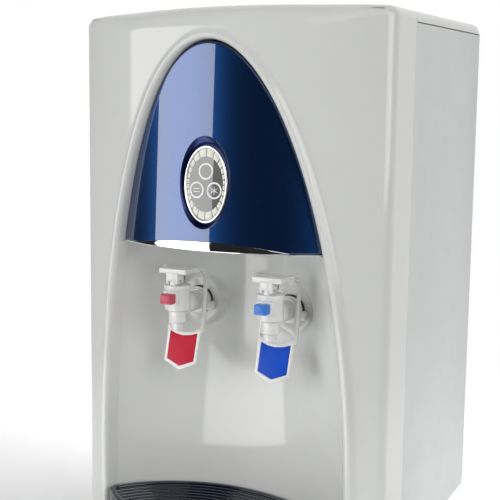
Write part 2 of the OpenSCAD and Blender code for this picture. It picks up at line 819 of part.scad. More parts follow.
module water_tubes() color("lightgray") {
    // hot tank to hot tap
    tube_run([[hot_x, hot_y, 260.2], [hot_x, hot_y, 274], [-tap_x, -36, 274], [-tap_x, -36, pipe_z],
              [-tap_x, tap_y + tail_end + 0.1, pipe_z]], 5);
    // cold tank to cold tap
    tube_run([[tap_x, seat_y - 27, 305.8], [tap_x, seat_y - 27, pipe_z],
              [tap_x, tap_y + tail_end + 0.1, pipe_z]], 5);
    // cold tank down to the hot tank, and on to the drain
    tube_run([[-10, seat_y + 53, 305.8], [-10, seat_y + 53, 98],
              [hot_x, hot_y, 98], [hot_x, hot_y, 111.8]], 5);
    tube_run([[hot_x, hot_y, 95], [hot_x, hot_y, 70], [drain_x, hot_y + 20, drain_z],
              [drain_x, rear_y - 16.1, drain_z]], 4.4);
}

// ---- rear fittings ----

module mains_inlet() color("black") {
    translate([inlet_x, rear_y, switch_z]) difference() {
        union() {
            translate([-13.4, -22, -9.4]) cube([26.8, 22, 18.8]);
            translate([-20, -0.4, -12]) cube([40, 2.4, 24]);
        }
        translate([-11.5, -17, -7.5]) cube([23, 30, 15]);
    }
    for (pin = [[-7, -1], [0, 2.6], [7, -1]])
        translate([inlet_x + pin[0] - 1, rear_y - 19, switch_z + pin[1] - 2])
        cube([2, 16, 4]);
}

module switch_frame() color("black") {
    mid = (switch_x[0] + switch_x[1]) / 2;
    half = (switch_x[1] - switch_x[0]) / 2;
    translate([mid, rear_y, switch_z]) difference() {
        union() {
            translate([-half - 8.8, -20, -10.8]) cube([2 * half + 17.6, 20, 21.6]);
            translate([-half - 11, -0.4, -13]) cube([2 * half + 22, 1.8, 26]);
        }
        for (side = [-1, 1]) translate([side * half - 6.5, -16, -9]) cube([13, 20, 18]);
        translate([-half - 7.5, -3, 0]) rotate([0, 90, 0]) cylinder(r = 1.5, h = 2 * half + 15);
    }
}

// Rocker at its off end, turned about its own axle
module rocker(x) {
    translate([x, rear_y - 3, switch_z]) rotate([-rocker_lean, 0, 0]) {
        difference() {
            translate([-6.2, -4, -8.2]) cube([12.4, 7, 16.4]);
            // shallow hollow pressed into the outer face
            translate([-8, 27.2, 0]) rotate([0, 90, 0]) cylinder(r = 26, h = 16, $fn = 96);
        }
        translate([-7.3, 0, 0]) rotate([0, 90, 0]) cylinder(r = 1.44, h = 14.6);
    }
}

module hot_switch() color("firebrick") rocker(switch_x[0]);

module cold_switch() color("seagreen") rocker(switch_x[1]);

module drain_port() color("white") {
    translate([drain_x, rear_y, drain_z]) difference() {
        union() {
            y_cyl(8, -16, 10);
            y_cyl(12, -4, -1.7);
            y_cyl(11, -0.3, 2);
        }
        y_cyl(4, -17, 11);
    }
}

module drain_cap() color("dimgray") {
    translate([drain_x, rear_y, drain_z]) difference() {
        union() {
            y_cyl(11, 2.1, 14);
            for (turn = [0:30:330]) rotate([0, turn, 0]) translate([10.6, 2.1, -1]) cube([1.2, 11.9, 2]);
        }
        y_cyl(8.1, 2, 10.1);
    }
}

module screws() color("silver") {
    for (x = screw_x, z = screw_z) translate([x, rear_y, z]) {
        y_cyl(3.6, -0.4, 1.6);
        y_cyl(1.5, -8, -0.4);
    }
}

base_pan();
feet();
front_panel();
side_panel_left();
side_panel_right();
top_cover();
rear_panel();
dome_cover();
dome_trim();
display_housing();
display_ring();
display_face();
display_segments();
lamp_marks();
display_board();
hot_tap_body();
hot_tap_nut();
hot_tap_gasket();
hot_lever();
hot_paddle_patch();
hot_button();
hot_lever_pin();
hot_valve_stem();
hot_valve_spring();
cold_tap_body();
cold_tap_nut();
cold_tap_gasket();
cold_lever();
cold_paddle_patch();
cold_button();
cold_lever_pin();
cold_valve_stem();
cold_valve_spring();
tap_back_nuts();
drip_basin();
drip_grille();
bottle_seat();
cold_tank();
cold_tank_lid();
cold_baffle();
cold_jacket();
evaporator_coil();
hot_tank();
hot_jacket();
heater_band();
thermostats();
compressor();
compressor_mounts();
condenser();
refrigerant_lines();
control_board();
water_tubes();
mains_inlet();
switch_frame();
hot_switch();
cold_switch();
drain_port();
drain_cap();
screws();
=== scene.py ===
import bisect
import json
from math import asin, atan, atan2, copysign, cos, hypot, pi, radians, sin, sqrt, tan

import bmesh
import bpy
from mathutils import Matrix, Vector


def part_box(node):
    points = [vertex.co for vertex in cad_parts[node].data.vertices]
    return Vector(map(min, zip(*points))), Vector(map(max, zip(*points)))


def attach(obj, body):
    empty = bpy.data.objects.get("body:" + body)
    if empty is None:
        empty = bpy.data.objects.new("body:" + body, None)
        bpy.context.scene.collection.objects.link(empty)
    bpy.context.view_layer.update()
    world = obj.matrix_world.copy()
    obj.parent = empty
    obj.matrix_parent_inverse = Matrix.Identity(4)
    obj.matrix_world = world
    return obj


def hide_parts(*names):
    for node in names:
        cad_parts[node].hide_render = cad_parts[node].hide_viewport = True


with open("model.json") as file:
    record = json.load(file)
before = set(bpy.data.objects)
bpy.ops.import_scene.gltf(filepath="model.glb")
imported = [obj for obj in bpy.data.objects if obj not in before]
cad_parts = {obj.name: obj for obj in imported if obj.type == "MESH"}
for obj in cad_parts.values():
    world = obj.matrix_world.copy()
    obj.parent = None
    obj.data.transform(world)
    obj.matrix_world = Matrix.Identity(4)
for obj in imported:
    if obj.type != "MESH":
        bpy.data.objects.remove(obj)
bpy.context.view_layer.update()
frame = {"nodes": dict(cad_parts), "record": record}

# Sizes are in millimetres here, and meshes are scaled to metres when they are made.
MM = 1000.0
SLOT_OF = {row["node"]: row["material_slot"] for row in frame["record"]["subparts"]}
BODY_OF = {n: b for b, group in frame["record"]["behaviour"]["bodies"].items() for n in group}


def box_mm(node):
    low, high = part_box(node)
    return low * MM, high * MM


PANEL_LOW, PANEL_HIGH = box_mm("front_panel")
BEAD_PROUD = 3.0
FRONT = PANEL_LOW.y + BEAD_PROUD
SEAM = PANEL_HIGH.y
HALF = PANEL_HIGH.x
TOP = PANEL_HIGH.z
FOOT = PANEL_LOW.z
REAR = box_mm("rear_panel")[1].y + 0.4

BOW = 43.0
BOW_R = (HALF**2 + BOW**2) / (2 * BOW)
BOW_Y = FRONT + BOW_R
CORNER_R = 14.0
CORNER_X = HALF - CORNER_R
CORNER_Y = BOW_Y - sqrt((BOW_R - CORNER_R) ** 2 - CORNER_X**2)
TURN = asin(CORNER_X / (BOW_R - CORNER_R))
S_CORNER = BOW_R * TURN
S_SIDE = S_CORNER + CORNER_R * (pi / 2 - TURN)
S_SEAM = S_SIDE + SEAM - CORNER_Y
EDGE_FRONT = 20.0
EDGE_SIDE = 9.5
W_EDGE = TOP - EDGE_FRONT
CROWN = 3.2
WALL = 2.5

ARCH_HALF = 120.0
ARCH_RISE = 400.0
ARCH_Z = 72.0
SHELF_Z = 28.0
CEILING_Z = 292.5
NICHE_BACK = 91.0
NICHE_ROUND = 6.0

DOME_Z = CEILING_Z
DOME_PROUD = 6.0
DOME_R = 165.0
DOME_LEAN = tan(radians(2.7))
DOME_GAP = 1.5
DISPLAY_Z = 349.7
TAP_X = 46.5
TAP_Y = FRONT + 35.0
PIPE_Z = 232.0
PAD_Y = TAP_Y + 46.0
PAD_R = 27.0
PAD_BLEND = 8.0


# ---- mesh helpers ----


class Shape:
    """Collects faces of one piece. A vertex may carry its exact normal."""

    def __init__(self):
        self.points = []
        self.normals = []
        self.faces = []

    def add(self, point, normal=None):
        self.points.append(Vector(point))
        self.normals.append(normal)
        return len(self.points) - 1

    def grid(self, rows, wrap=False):
        """Quads over rows of (point, normal) pairs."""
        index = [[self.add(*pair) for pair in row] for row in rows]
        for upper, lower in zip(index, index[1:]):
            count = len(upper)
            for i in range(count if wrap else count - 1):
                j = (i + 1) % count
                self.face([upper[i], upper[j], lower[j], lower[i]])
        return index

    def face(self, corners):
        a, b, c = (self.points[corners[k]] for k in (0, 1, 2))
        across = (c - a).cross(self.points[corners[-1]] - b)
        known = [self.normals[k] for k in corners if self.normals[k] is not None]
        if known and across.dot(sum(known, Vector())) < 0:
            corners = corners[::-1]
        self.faces.append(corners)

    def loft(self, sections):
        """Closed outlines joined one after another, with flat ends."""
        index = self.grid([plain(section) for section in sections], True)
        self.faces += [index[0][::-1], index[-1]]

    def take(self, other):
        """Adds the faces of a bmesh and frees it."""
        start = len(self.points)
        other.verts.index_update()
        for v in other.verts:
            self.add(v.co)
        for f in other.faces:
            self.faces.append([start + v.index for v in f.verts])
        other.free()


def plain(points):
    return [(Vector(p), None) for p in points]


def make(shape, name, *nodes, sharp=38.0, keep=False):
    """Turns a shape into a piece that rides on its nodes' body and stands for them."""
    mesh = bpy.data.meshes.new(name)
    mesh.from_pydata([p / MM for p in shape.points], [], shape.faces)
    mesh.materials.append(MATERIALS[SLOT_OF[nodes[0]]])
    if not keep:
        bm = bmesh.new()
        bm.from_mesh(mesh)
        bmesh.ops.remove_doubles(bm, verts=bm.verts, dist=2e-6)
        bmesh.ops.dissolve_degenerate(bm, edges=bm.edges, dist=1e-6)
        bmesh.ops.recalc_face_normals(bm, faces=bm.faces)
        bm.to_mesh(mesh)
        bm.free()
    mesh.polygons.foreach_set("use_smooth", [True] * len(mesh.polygons))
    if keep:
        own = [n.vector for n in mesh.vertex_normals]
        mesh.normals_split_custom_set_from_vertices(
            [n if n is not None else own[i] for i, n in enumerate(shape.normals)]
        )
    else:
        mesh.set_sharp_from_angle(angle=radians(sharp))
    mesh.update()
    piece = bpy.data.objects.new(name, mesh)
    bpy.context.scene.collection.objects.link(piece)
    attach(piece, BODY_OF[nodes[0]])
    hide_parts(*nodes)
    return piece


def normal_of(surface, u, v, step_v=0.02):
    """Unit normal of a surface given by a function of two numbers."""
    du = surface(u + 0.02, v) - surface(u - 0.02, v)
    dv = surface(u, v + step_v) - surface(u, v - step_v)
    return du.cross(dv).normalized()


def smooth_step(t):
    t = min(1.0, max(0.0, t))
    return t * t * (3 - 2 * t)


def spread(low, high, count):
    return [low + (high - low) * i / count for i in range(count + 1)]


def circle(count):
    """Angles of evenly spaced steps round a circle."""
    return spread(0, 2 * pi, count)[:-1]


def blend_outline(a, b, share):
    return [(p[0] + (q[0] - p[0]) * share, p[1] + (q[1] - p[1]) * share) for p, q in zip(a, b)]


def last_inside(test, low, high, steps):
    """Largest number between two ends that still passes a test."""
    for _ in range(steps):
        middle = (low + high) / 2
        if test(middle):
            low = middle
        else:
            high = middle
    return low


def slab(outline, near, far, edge=0.5, place=None, segments=3):
    """Plate with rounded edges: an outline (x, z) pushed along Y from near to far."""
    bm = bmesh.new()
    front = [bm.verts.new((x, near, z)) for x, z in outline]
    back = [bm.verts.new((x, far, z)) for x, z in outline]
    bm.faces.new(front)
    bm.faces.new(back[::-1])
    for i in range(len(outline)):
        j = (i + 1) % len(outline)
        bm.faces.new((front[i], back[i], back[j], front[j]))
    bmesh.ops.recalc_face_normals(bm, faces=bm.faces)
    edges = [e for e in bm.edges if e.calc_face_angle(0) > radians(25)]
    bmesh.ops.bevel(
        bm, geom=edges, offset=edge, segments=segments, profile=0.5, affect="EDGES", clamp_overlap=True
    )
    if place is not None:
        bmesh.ops.transform(bm, matrix=place, verts=bm.verts)
    return bm


def block(low, high, edge=0.5, place=None):
    """Box with rounded edges between two corners."""
    outline = [(low[0], low[2]), (high[0], low[2]), (high[0], high[2]), (low[0], high[2])]
    return slab(outline, low[1], high[1], edge, place)


def ring_of(centre, radius, count=48, axis="z"):
    """Points of a circle round a centre, about the Y or Z axis."""
    points = []
    for a in circle(count):
        c, s = radius * cos(a), radius * sin(a)
        points.append(Vector(centre) + Vector((c, s, 0) if axis == "z" else (c, 0, s)))
    return points


def lathe(shape, centre, profile, axis="z", count=48):
    """Solid of revolution from (radius, distance along the axis) pairs."""
    along = Vector((0, 0, 1) if axis == "z" else (0, 1, 0))
    sections = [ring_of(Vector(centre) + along * h, max(r, 0.01), count, axis) for r, h in profile]
    shape.loft(sections)


def rounded(radius, low, high, edge=0.6):
    """Profile of a short cylinder with rounded ends."""
    curve = [(edge * (1 - sin(a)), edge * (1 - cos(a))) for a in (0, 0.5, 1.0, 1.57)]
    bottom = [(radius - back, low + up) for back, up in curve]
    upper = [(radius - back, high - up) for back, up in reversed(curve)]
    return [(0.01, low)] + bottom + upper + [(0.01, high)]


# ---- materials ----


def set_inputs(node, values):
    for key, value in values.items():
        node.inputs[key.replace("_", " ")].default_value = value


class Finish:
    """A Principled material whose colour, gloss and fine relief vary with procedural noise."""

    def __init__(self, name, colour, rough, metal=0.0):
        self.material = bpy.data.materials.new(name)
        self.material.use_nodes = True
        self.material.diffuse_color = (*colour, 1)
        self.tree = self.material.node_tree
        self.shader = self.tree.nodes["Principled BSDF"]
        self.shader.inputs["Metallic"].default_value = metal
        self.place = self.tree.nodes.new("ShaderNodeTexCoord").outputs["Object"]
        self.colour = colour
        self.rough = rough
        self.tint(0.02, 30.0)
        self.wear(0.12, 90.0)

    def set(self, **values):
        set_inputs(self.shader, values)
        return self

    def node(self, kind, socket, source, **values):
        """New node with one socket fed from a source; returns its outputs."""
        node = self.tree.nodes.new("ShaderNode" + kind)
        set_inputs(node, values)
        self.tree.links.new(source, node.inputs[socket])
        return node.outputs

    def drive(self, socket, source):
        self.tree.links.new(source, self.shader.inputs[socket])
        return self

    def noise(self, scale, detail=3.0):
        return self.node("TexNoise", "Vector", self.place, Scale=scale, Detail=detail)["Fac"]

    def cells(self, scale):
        return self.node("TexVoronoi", "Vector", self.place, Scale=scale)["Distance"]

    def ramp(self, source, stops):
        node = self.tree.nodes.new("ShaderNodeValToRGB")
        while len(node.color_ramp.elements) < len(stops):
            node.color_ramp.elements.new(0.5)
        for element, (position, colour) in zip(node.color_ramp.elements, stops):
            element.position = position
            element.color = (*colour, 1)
        self.tree.links.new(source, node.inputs["Fac"])
        return node.outputs["Color"]

    def tint(self, amount, scale):
        low = [c * (1 - amount) for c in self.colour]
        high = [min(1.0, c * (1 + amount)) for c in self.colour]
        return self.drive("Base Color", self.ramp(self.noise(scale), [(0.35, low), (0.65, high)]))

    def wear(self, amount, scale):
        low, high = self.rough * (1 - amount), self.rough * (1 + amount)
        mapped = self.node("MapRange", "Value", self.noise(scale), To_Min=low, To_Max=high)
        return self.drive("Roughness", mapped["Result"])

    def relief(self, strength, scale, depth=0.0002, source=None):
        height = source or self.noise(scale, 4.0)
        bump = self.node("Bump", "Height", height, Strength=strength, Distance=depth)
        return self.drive("Normal", bump["Normal"])

    def coat(self, weight, rough=0.03):
        return self.set(Coat_Weight=weight, Coat_Roughness=rough, Coat_IOR=1.5)


def flake_blue():
    """Deep blue with fine metal flakes under a clear coat."""
    finish = Finish("dome_blue", (0.012, 0.05, 0.25), 0.34, 0.96).wear(0.03, 40.0)
    cells = finish.cells(2600.0)
    stops = [(0.0, (0.014, 0.105, 0.26)), (0.3, (0.007, 0.045, 0.165)), (1.0, (0.004, 0.024, 0.105))]
    finish.drive("Base Color", finish.ramp(cells, stops)).relief(0.10, 0, 0.00005, cells)
    return finish.coat(1.0, 0.02).set(Coat_IOR=1.78).material


def brushed(name, colour, rough, metal=1.0):
    """Metal with fine streaks along X."""
    finish = Finish(name, colour, rough, metal)
    stretched = finish.node("Mapping", "Vector", finish.place, Scale=(30.0, 900.0, 900.0))
    streaks = finish.node("TexNoise", "Vector", stretched["Vector"])
    return finish.relief(0.25, 0, 0.00004, streaks["Fac"]).material


def moulded(name, colour, rough, coat=0.0, relief=0.05, scale=700.0):
    finish = Finish(name, colour, rough).relief(relief, scale, 0.00008)
    if coat:
        finish.coat(coat)
    return finish.material


def beaded_foam():
    finish = Finish("foam_white", (0.86, 0.86, 0.85), 0.75)
    return finish.relief(0.7, 0, 0.0008, finish.cells(260.0)).material


def wrinkled_foil():
    finish = Finish("jacket_foil", (0.78, 0.79, 0.80), 0.22, 1.0)
    return finish.relief(0.6, 60.0, 0.0012).material


def clear_tube():
    finish = Finish("tube_silicone", (0.80, 0.83, 0.84), 0.25)
    return finish.set(Subsurface_Weight=0.35, IOR=1.41).material


def face_grey():
    """Smoked grey face under a glossy window."""
    finish = Finish("face_grey", (0.13, 0.13, 0.125), 0.3).relief(0.05, 1600.0, 0.00008)
    return finish.coat(1.0, 0.02).set(Coat_IOR=1.72, Specular_IOR_Level=0.2).material


def patch(name, colour):
    """Matt soft-touch plastic."""
    return Finish(name, colour, 0.42).relief(0.05, 700.0, 0.00008).set(Specular_IOR_Level=0.15).material


def make_materials():
    """One material for each slot in the record, under its slot's name without Blender's number."""
    chrome = Finish("chrome_trim", (0.90, 0.90, 0.92), 0.04, 1.0)
    silver = Finish("ring_silver", (0.93, 0.93, 0.93), 0.3, 0.85)
    shell = Finish("white_shell", (0.70, 0.71, 0.69), 0.085).tint(0.006, 20.0)
    finishes = [
        shell.relief(0.012, 500.0, 0.00005).set(Specular_IOR_Level=0.5).material,
        moulded("white_steel", (0.66, 0.68, 0.67), 0.36, relief=0.12, scale=900.0),
        moulded("rear_steel", (0.52, 0.53, 0.53), 0.45, relief=0.2, scale=1100.0),
        brushed("pan_steel", (0.50, 0.51, 0.51), 0.42, 0.8),
        moulded("foot_rubber", (0.03, 0.03, 0.03), 0.7, relief=0.3),
        flake_blue(),
        chrome.tint(0.01, 20.0).material,
        # the recess wall is a darker copy of the dome's navy: painted shade inside the display's recess
        Finish("recess_navy", (0.003, 0.012, 0.07), 0.25, 0.75).coat(0.12).material,
        silver.material,
        face_grey(),
        moulded("segment_cream", (0.74, 0.74, 0.67), 0.22, 0.3),
        moulded("mark_white", (0.92, 0.92, 0.92), 0.3, 0.2),
        moulded("board_green", (0.02, 0.14, 0.06), 0.35, 0.2, 0.3, 400.0),
        moulded("tap_white", (0.76, 0.76, 0.75), 0.16, 0.3, 0.03),
        patch("patch_red", (0.52, 0.014, 0.04)),
        patch("patch_blue", (0.004, 0.07, 0.52)),
        moulded("button_red", (0.52, 0.045, 0.09), 0.32, 0.2),
        moulded("button_blue", (0.025, 0.19, 0.66), 0.32, 0.2),
        brushed("pin_steel", (0.66, 0.66, 0.68), 0.22),
        moulded("seal_rubber", (0.02, 0.02, 0.02), 0.5, relief=0.1),
        moulded("valve_silicone", (0.74, 0.74, 0.70), 0.4),
        brushed("nut_brass", (0.68, 0.49, 0.20), 0.28),
        moulded("tray_navy", (0.003, 0.007, 0.018), 0.12, 0.35, 0.02),
        moulded("seat_white", (0.72, 0.73, 0.74), 0.2, 0.2, 0.03),
        brushed("tank_steel", (0.66, 0.66, 0.67), 0.25),
        moulded("tank_plastic", (0.76, 0.77, 0.75), 0.4),
        beaded_foam(),
        wrinkled_foil(),
        brushed("copper_tube", (0.62, 0.29, 0.15), 0.3),
        brushed("heater_metal", (0.5, 0.5, 0.5), 0.4),
        moulded("black_plastic", (0.018, 0.018, 0.018), 0.42, relief=0.2, scale=1300.0),
        moulded("black_paint", (0.016, 0.016, 0.017), 0.38, relief=0.15, scale=800.0),
        moulded("switch_red", (0.46, 0.02, 0.02), 0.25, 0.3),
        moulded("switch_green", (0.02, 0.26, 0.06), 0.25, 0.3),
        clear_tube(),
    ]
    return {material.name.partition(".")[0]: material for material in finishes}


MATERIALS = make_materials()


def dress_cad_nodes():
    """CAD parts get their slot's material, and stay as they are otherwise."""
    for name, part in frame["nodes"].items():
        part.data.materials.clear()
        part.data.materials.append(MATERIALS[SLOT_OF[name]])


# ---- outer shell ----


def crown_drop(x, z):
    """The top edge is a little lower at the corners than in the middle."""
    return CROWN * (x / HALF) ** 2 * max(0.0, z / TOP) ** 8


def plan(s, inset):
    """Point of the housing's outline, s mm along it from the middle of the front."""
    side = 1 if s >= 0 else -1
    run = abs(s)
    if run <= S_CORNER:
        turn = run / BOW_R
        return Vector((side * (BOW_R - inset) * sin(turn), BOW_Y - (BOW_R - inset) * cos(turn), 0))
    if run <= S_SIDE:
        turn = TURN + (run - S_CORNER) / CORNER_R
        reach = CORNER_R - inset
        return Vector((side * (CORNER_X + reach * sin(turn)), CORNER_Y - reach * cos(turn), 0))
    return Vector((side * (HALF - inset), CORNER_Y + run - S_SIDE, 0))


def edge_radius(s):
    """The top edge is rounder along the front than round the corners."""
    return EDGE_SIDE + (EDGE_FRONT - EDGE_SIDE) * smooth_step((S_CORNER - 4 - abs(s)) / 55)


def shell(s, w):
    """Outer face of the front panel: s along the outline, w up the wall."""
    point = plan(s, 0)
    point.z = w - crown_drop(point.x, w)
    return point


def top_edge(s, bend):
    """Rounded top edge; bend runs from 0 at the wall to a right angle at the flat top."""
    radius = edge_radius(s)
    point = plan(s, radius * (1 - cos(bend)))
    z = TOP - radius + radius * sin(bend)
    point.z = z - crown_drop(point.x, z)
    return point


def shell_pair(s, w):
    return outward(shell(s, w), normal_of(shell, s, w))


def arch_frame(t):
    """Point of the arch's outline and its outward direction; t runs 0 to 1 from foot to foot."""
    rise = ARCH_Z - SHELF_Z
    # counted longer than it is, so that its steps are closer than those on the feet
    ellipse = 1040.0
    total = 2 * rise + ellipse
    run = t * total
    if run < rise:
        return (ARCH_HALF, SHELF_Z + run), (1.0, 0.0)
    if run > total - rise:
        return (-ARCH_HALF, SHELF_Z + total - run), (-1.0, 0.0)
    a = arch_angle((run - rise) / ellipse)
    nx, nz = ARCH_RISE * cos(a), ARCH_HALF * sin(a)
    size = hypot(nx, nz)
    return (ARCH_HALF * cos(a), ARCH_Z + ARCH_RISE * sin(a)), (nx / size, nz / size)


def make_arch_table():
    """Angles of the half ellipse against distance along it, so that steps are even."""
    table = [(0.0, 0.0)]
    steps = 2000
    for i in range(1, steps + 1):
        a = pi * (i - 0.5) / steps
        size = hypot(ARCH_HALF * sin(a), ARCH_RISE * cos(a)) * pi / steps
        table.append((table[-1][0] + size, pi * i / steps))
    return table


ARCH_TABLE = make_arch_table()


def arch_angle(share):
    """Angle at a share of the half ellipse's length."""
    target = min(1.0, max(0.0, share)) * ARCH_TABLE[-1][0]
    after = bisect.bisect_right(ARCH_TABLE, target, 1, len(ARCH_TABLE) - 1, key=lambda row: row[0])
    a, b = ARCH_TABLE[after - 1], ARCH_TABLE[after]
    return a[1] + (b[1] - a[1]) * (target - a[0]) / (b[0] - a[0])


def arch_at(z, grow=0.0):
    """Half the arch's width at a height."""
    rise = (z - ARCH_Z) / (ARCH_RISE + grow)
    return (ARCH_HALF + grow) * sqrt(max(0.0, 1 - max(0.0, rise) ** 2))


def bow_at(x):
    return BOW_Y - sqrt(BOW_R**2 - x**2)


# Bead section: (distance outside the arch, height above the face)
BEAD = [
    (0.0, -13.0), (0.0, -9.0), (0.0, -5.0), (0.05, -2.5), (0.25, -1.0), (0.7, 0.4), (1.4, 1.6), (2.2, 2.4),
    (3.0, 2.85), (3.8, 3.0), (4.6, 2.85), (5.6, 2.3), (6.8, 1.4), (8.0, 0.6), (9.2, 0.15), (10.6, 0.0),
]  # fmt: skip


def bead_curve(k):
    k = min(len(BEAD) - 1.0, max(0.0, k))
    i = min(int(k), len(BEAD) - 2)
    part = k - i
    a, b = BEAD[i], BEAD[i + 1]
    return a[0] + (b[0] - a[0]) * part, a[1] + (b[1] - a[1]) * part


def bead(t, k):
    (x, z), (nx, nz) = arch_frame(t)
    out, height = bead_curve(k)
    s = BOW_R * asin((x + nx * out) / BOW_R)
    w = z + nz * out
    return shell(s, w) + normal_of(shell, s, w) * height


def bead_pair(t, k):
    du = bead(t + 0.0005, k) - bead(t - 0.0005, k)
    dv = bead(t, k + 0.5) - bead(t, k - 0.5)
    return bead(t, k), dv.cross(du).normalized()


def arch_domain(t, out):
    """Place (s, w) on the shell of a point that lies outside the arch."""
    (x, z), (nx, nz) = arch_frame(t)
    return BOW_R * asin((x + nx * out) / BOW_R), z + nz * out


# Steps round the arch, and how many of them face each upright edge of the front
RING_N = 220
RING_SIDE = 66
EDGE_S = S_CORNER - 1.0
EDGE_W = W_EDGE - 1.0


def outer_domain(i):
    """Point of the front's rectangular edge that faces step i of the arch."""
    if i <= RING_SIDE:
        return EDGE_S, SHELF_Z + (EDGE_W - SHELF_Z) * i / RING_SIDE
    if i >= RING_N - RING_SIDE:
        return -EDGE_S, SHELF_Z + (EDGE_W - SHELF_Z) * (RING_N - i) / RING_SIDE
    share = (i - RING_SIDE) / (RING_N - 2 * RING_SIDE)
    return EDGE_S * (1 - 2 * share), EDGE_W


def outward(point, normal):
    """Turns a shell normal so that it points out of the housing."""
    centre = Vector((0, 40, point.z * 0.6 + 90))
    return point, normal if normal.dot(point - centre) > 0 else -normal


def front_rings(shape):
    """Bead round the arch, then the face from the bead out to a rectangle."""
    along = [min(0.9995, max(0.0005, i / RING_N)) for i in range(RING_N + 1)]
    shape.grid([[bead_pair(t, k) for t in along] for k in range(len(BEAD))])
    near = [arch_domain(t, BEAD[-1][0]) for t in along]
    far = [outer_domain(i) for i in range(RING_N + 1)]
    steps = [blend_outline(near, far, mix) for mix in spread(0, 1, 26)]
    shape.grid([[shell_pair(*place) for place in step] for step in steps])


def side_runs():
    """Steps along the outline from the front's edge round the corner to the seam."""
    return [EDGE_S] + spread(S_CORNER, S_SIDE, 12) + spread(S_SIDE, S_SEAM, 6)[1:]


def front_sides(shape):
    heights = spread(FOOT, SHELF_Z, 3) + spread(SHELF_Z, EDGE_W, RING_SIDE)[1:]
    for side in (-1, 1):
        shape.grid([[shell_pair(side * s, w) for s in side_runs()] for w in heights])
    low = spread(-EDGE_S, EDGE_S, 90)
    shape.grid([[shell_pair(s, w) for s in low] for w in spread(FOOT, SHELF_Z, 3)])


def front_top(shape):
    """Rounded top edge and the flat behind it, back to the seam."""
    runs = side_runs()
    columns = [-s for s in reversed(runs)] + spread(-EDGE_S, EDGE_S, RING_N - 2 * RING_SIDE)[1:-1] + runs
    rows = [[shell_pair(s, EDGE_W) for s in columns]]
    for bend in spread(0.001, pi / 2 - 0.001, 14):
        rows.append([outward(top_edge(s, bend), normal_of(top_edge, s, bend, 0.0008)) for s in columns])
    shape.grid(rows)
    inner = [s for s in columns if abs(s) <= S_SIDE + 0.01]
    rows = []
    for share in spread(0, 1, 6):
        row = []
        for s in inner:
            start = plan(s, edge_radius(s))
            y = start.y + (SEAM - start.y) * share
            row.append((Vector((start.x, y, TOP - crown_drop(start.x, TOP))), Vector((0, 0, 1))))
        rows.append(row)
    shape.grid(rows)


def front_returns(shape):
    """The wall's thickness at the seam and along the bottom."""
    heights = spread(FOOT, EDGE_W, 20)
    for side in (-1, 1):
        rows = []
        for back, inset in ((0, 0), (0, WALL), (-30, WALL)):
            rows.append(plain([(side * (HALF - inset), SEAM + back, z) for z in heights]))
        shape.grid(rows)
    columns = [-s for s in reversed(side_runs())] + spread(-EDGE_S, EDGE_S, 60) + side_runs()
    rows = []
    for inset, up in ((0, 0), (WALL, 0), (WALL, 14)):
        rows.append(plain([plan(s, inset) + Vector((0, 0, FOOT + up)) for s in columns]))
    shape.grid(rows)
    runs = spread(-HALF + EDGE_SIDE, HALF - EDGE_SIDE, 24)
    top = [TOP - crown_drop(x, TOP) for x in runs]
    for y_far, drop in (((SEAM, SEAM), (0, WALL)), ((SEAM, SEAM - 60), (WALL, WALL))):
        shape.grid([plain([(x, y_far[k], z - drop[k]) for x, z in zip(runs, top)]) for k in (0, 1)])


# ---- niche ----


def niche(turn, z):
    """Smooth hollow with a flat behind each tap; turn runs -1 to 1 across the arch."""
    half = arch_at(z) - 0.02
    edge = bow_at(half) + 5.0
    sag = FRONT + NICHE_BACK - edge
    radius = (half**2 + sag**2) / (2 * sag)
    reach = asin(min(1.0, half / radius)) if sag < half else pi - asin(half / radius)
    a = turn * reach
    x = radius * sin(a)
    y = FRONT + NICHE_BACK - radius + radius * cos(a)
    for side in (-1, 1):
        away = hypot(x - side * TAP_X, z - PIPE_Z)
        y += (PAD_Y - y) * smooth_step((PAD_R - away) / PAD_BLEND)
    return Vector((x, y, z))


def niche_pair(turn, z):
    point = niche(turn, z)
    du = niche(turn + 0.002, z) - niche(turn - 0.002, z)
    dv = niche(turn, z + 0.2) - niche(turn, z - 0.2)
    normal = du.cross(dv).normalized()
    return point, normal if normal.y < 0 else -normal


def front_niche(shape):
    turns = spread(-1, 1, 150)
    heights = spread(SHELF_Z, 205, 50) + spread(205, 260, 40)[1:]
    heights += spread(260, CEILING_Z - NICHE_ROUND, 8)[1:]
    rows = [[niche_pair(t, z) for t in turns] for z in heights]
    shape.grid(rows)
    rows = [[p for p, _ in rows[-1]]]
    for bend in (0.3, 0.7, 1.1, 1.5):
        z = CEILING_Z - NICHE_ROUND + NICHE_ROUND * sin(bend)
        row = []
        for t in turns:
            point = niche(t, z)
            inward = Vector((-point.x, FRONT + 20 - point.y, 0))
            row.append(point + inward.normalized() * (NICHE_ROUND * (1 - cos(bend))))
        rows.append(row)
    rows.append([Vector((p.x, lip_y(p.x) + 2.0, CEILING_Z)) for p in rows[-1]])
    shape.grid([plain(row) for row in rows[:-1]])
    shape.grid([plain(row) for row in rows[-2:]])
    base = [niche(t, SHELF_Z) for t in turns]
    shape.grid([plain(base), plain([Vector((p.x, bow_at(p.x), SHELF_Z)) for p in base])])


def lip_y(x):
    """The ceiling's front edge stays just behind the dome."""
    return max(bow_at(x), dome_y(x, DOME_Z) + 0.9)


def niche_lip(shape):
    """Thin front edge of the niche's ceiling, under the dome."""
    half = arch_at(CEILING_Z) + 0.3
    profile = [(12, -0.15), (1.2, -0.15), (0.5, -0.2), (0.05, -0.35), (0.0, -0.7)]
    profile += [(0.3, -1.0), (0.9, -1.1), (12, -1.1)]
    rows = []
    for back, up in profile:
        rows.append(plain([(x, lip_y(x) + back, CEILING_Z + up) for x in spread(-half, half, 60)]))
    shape.grid(rows)


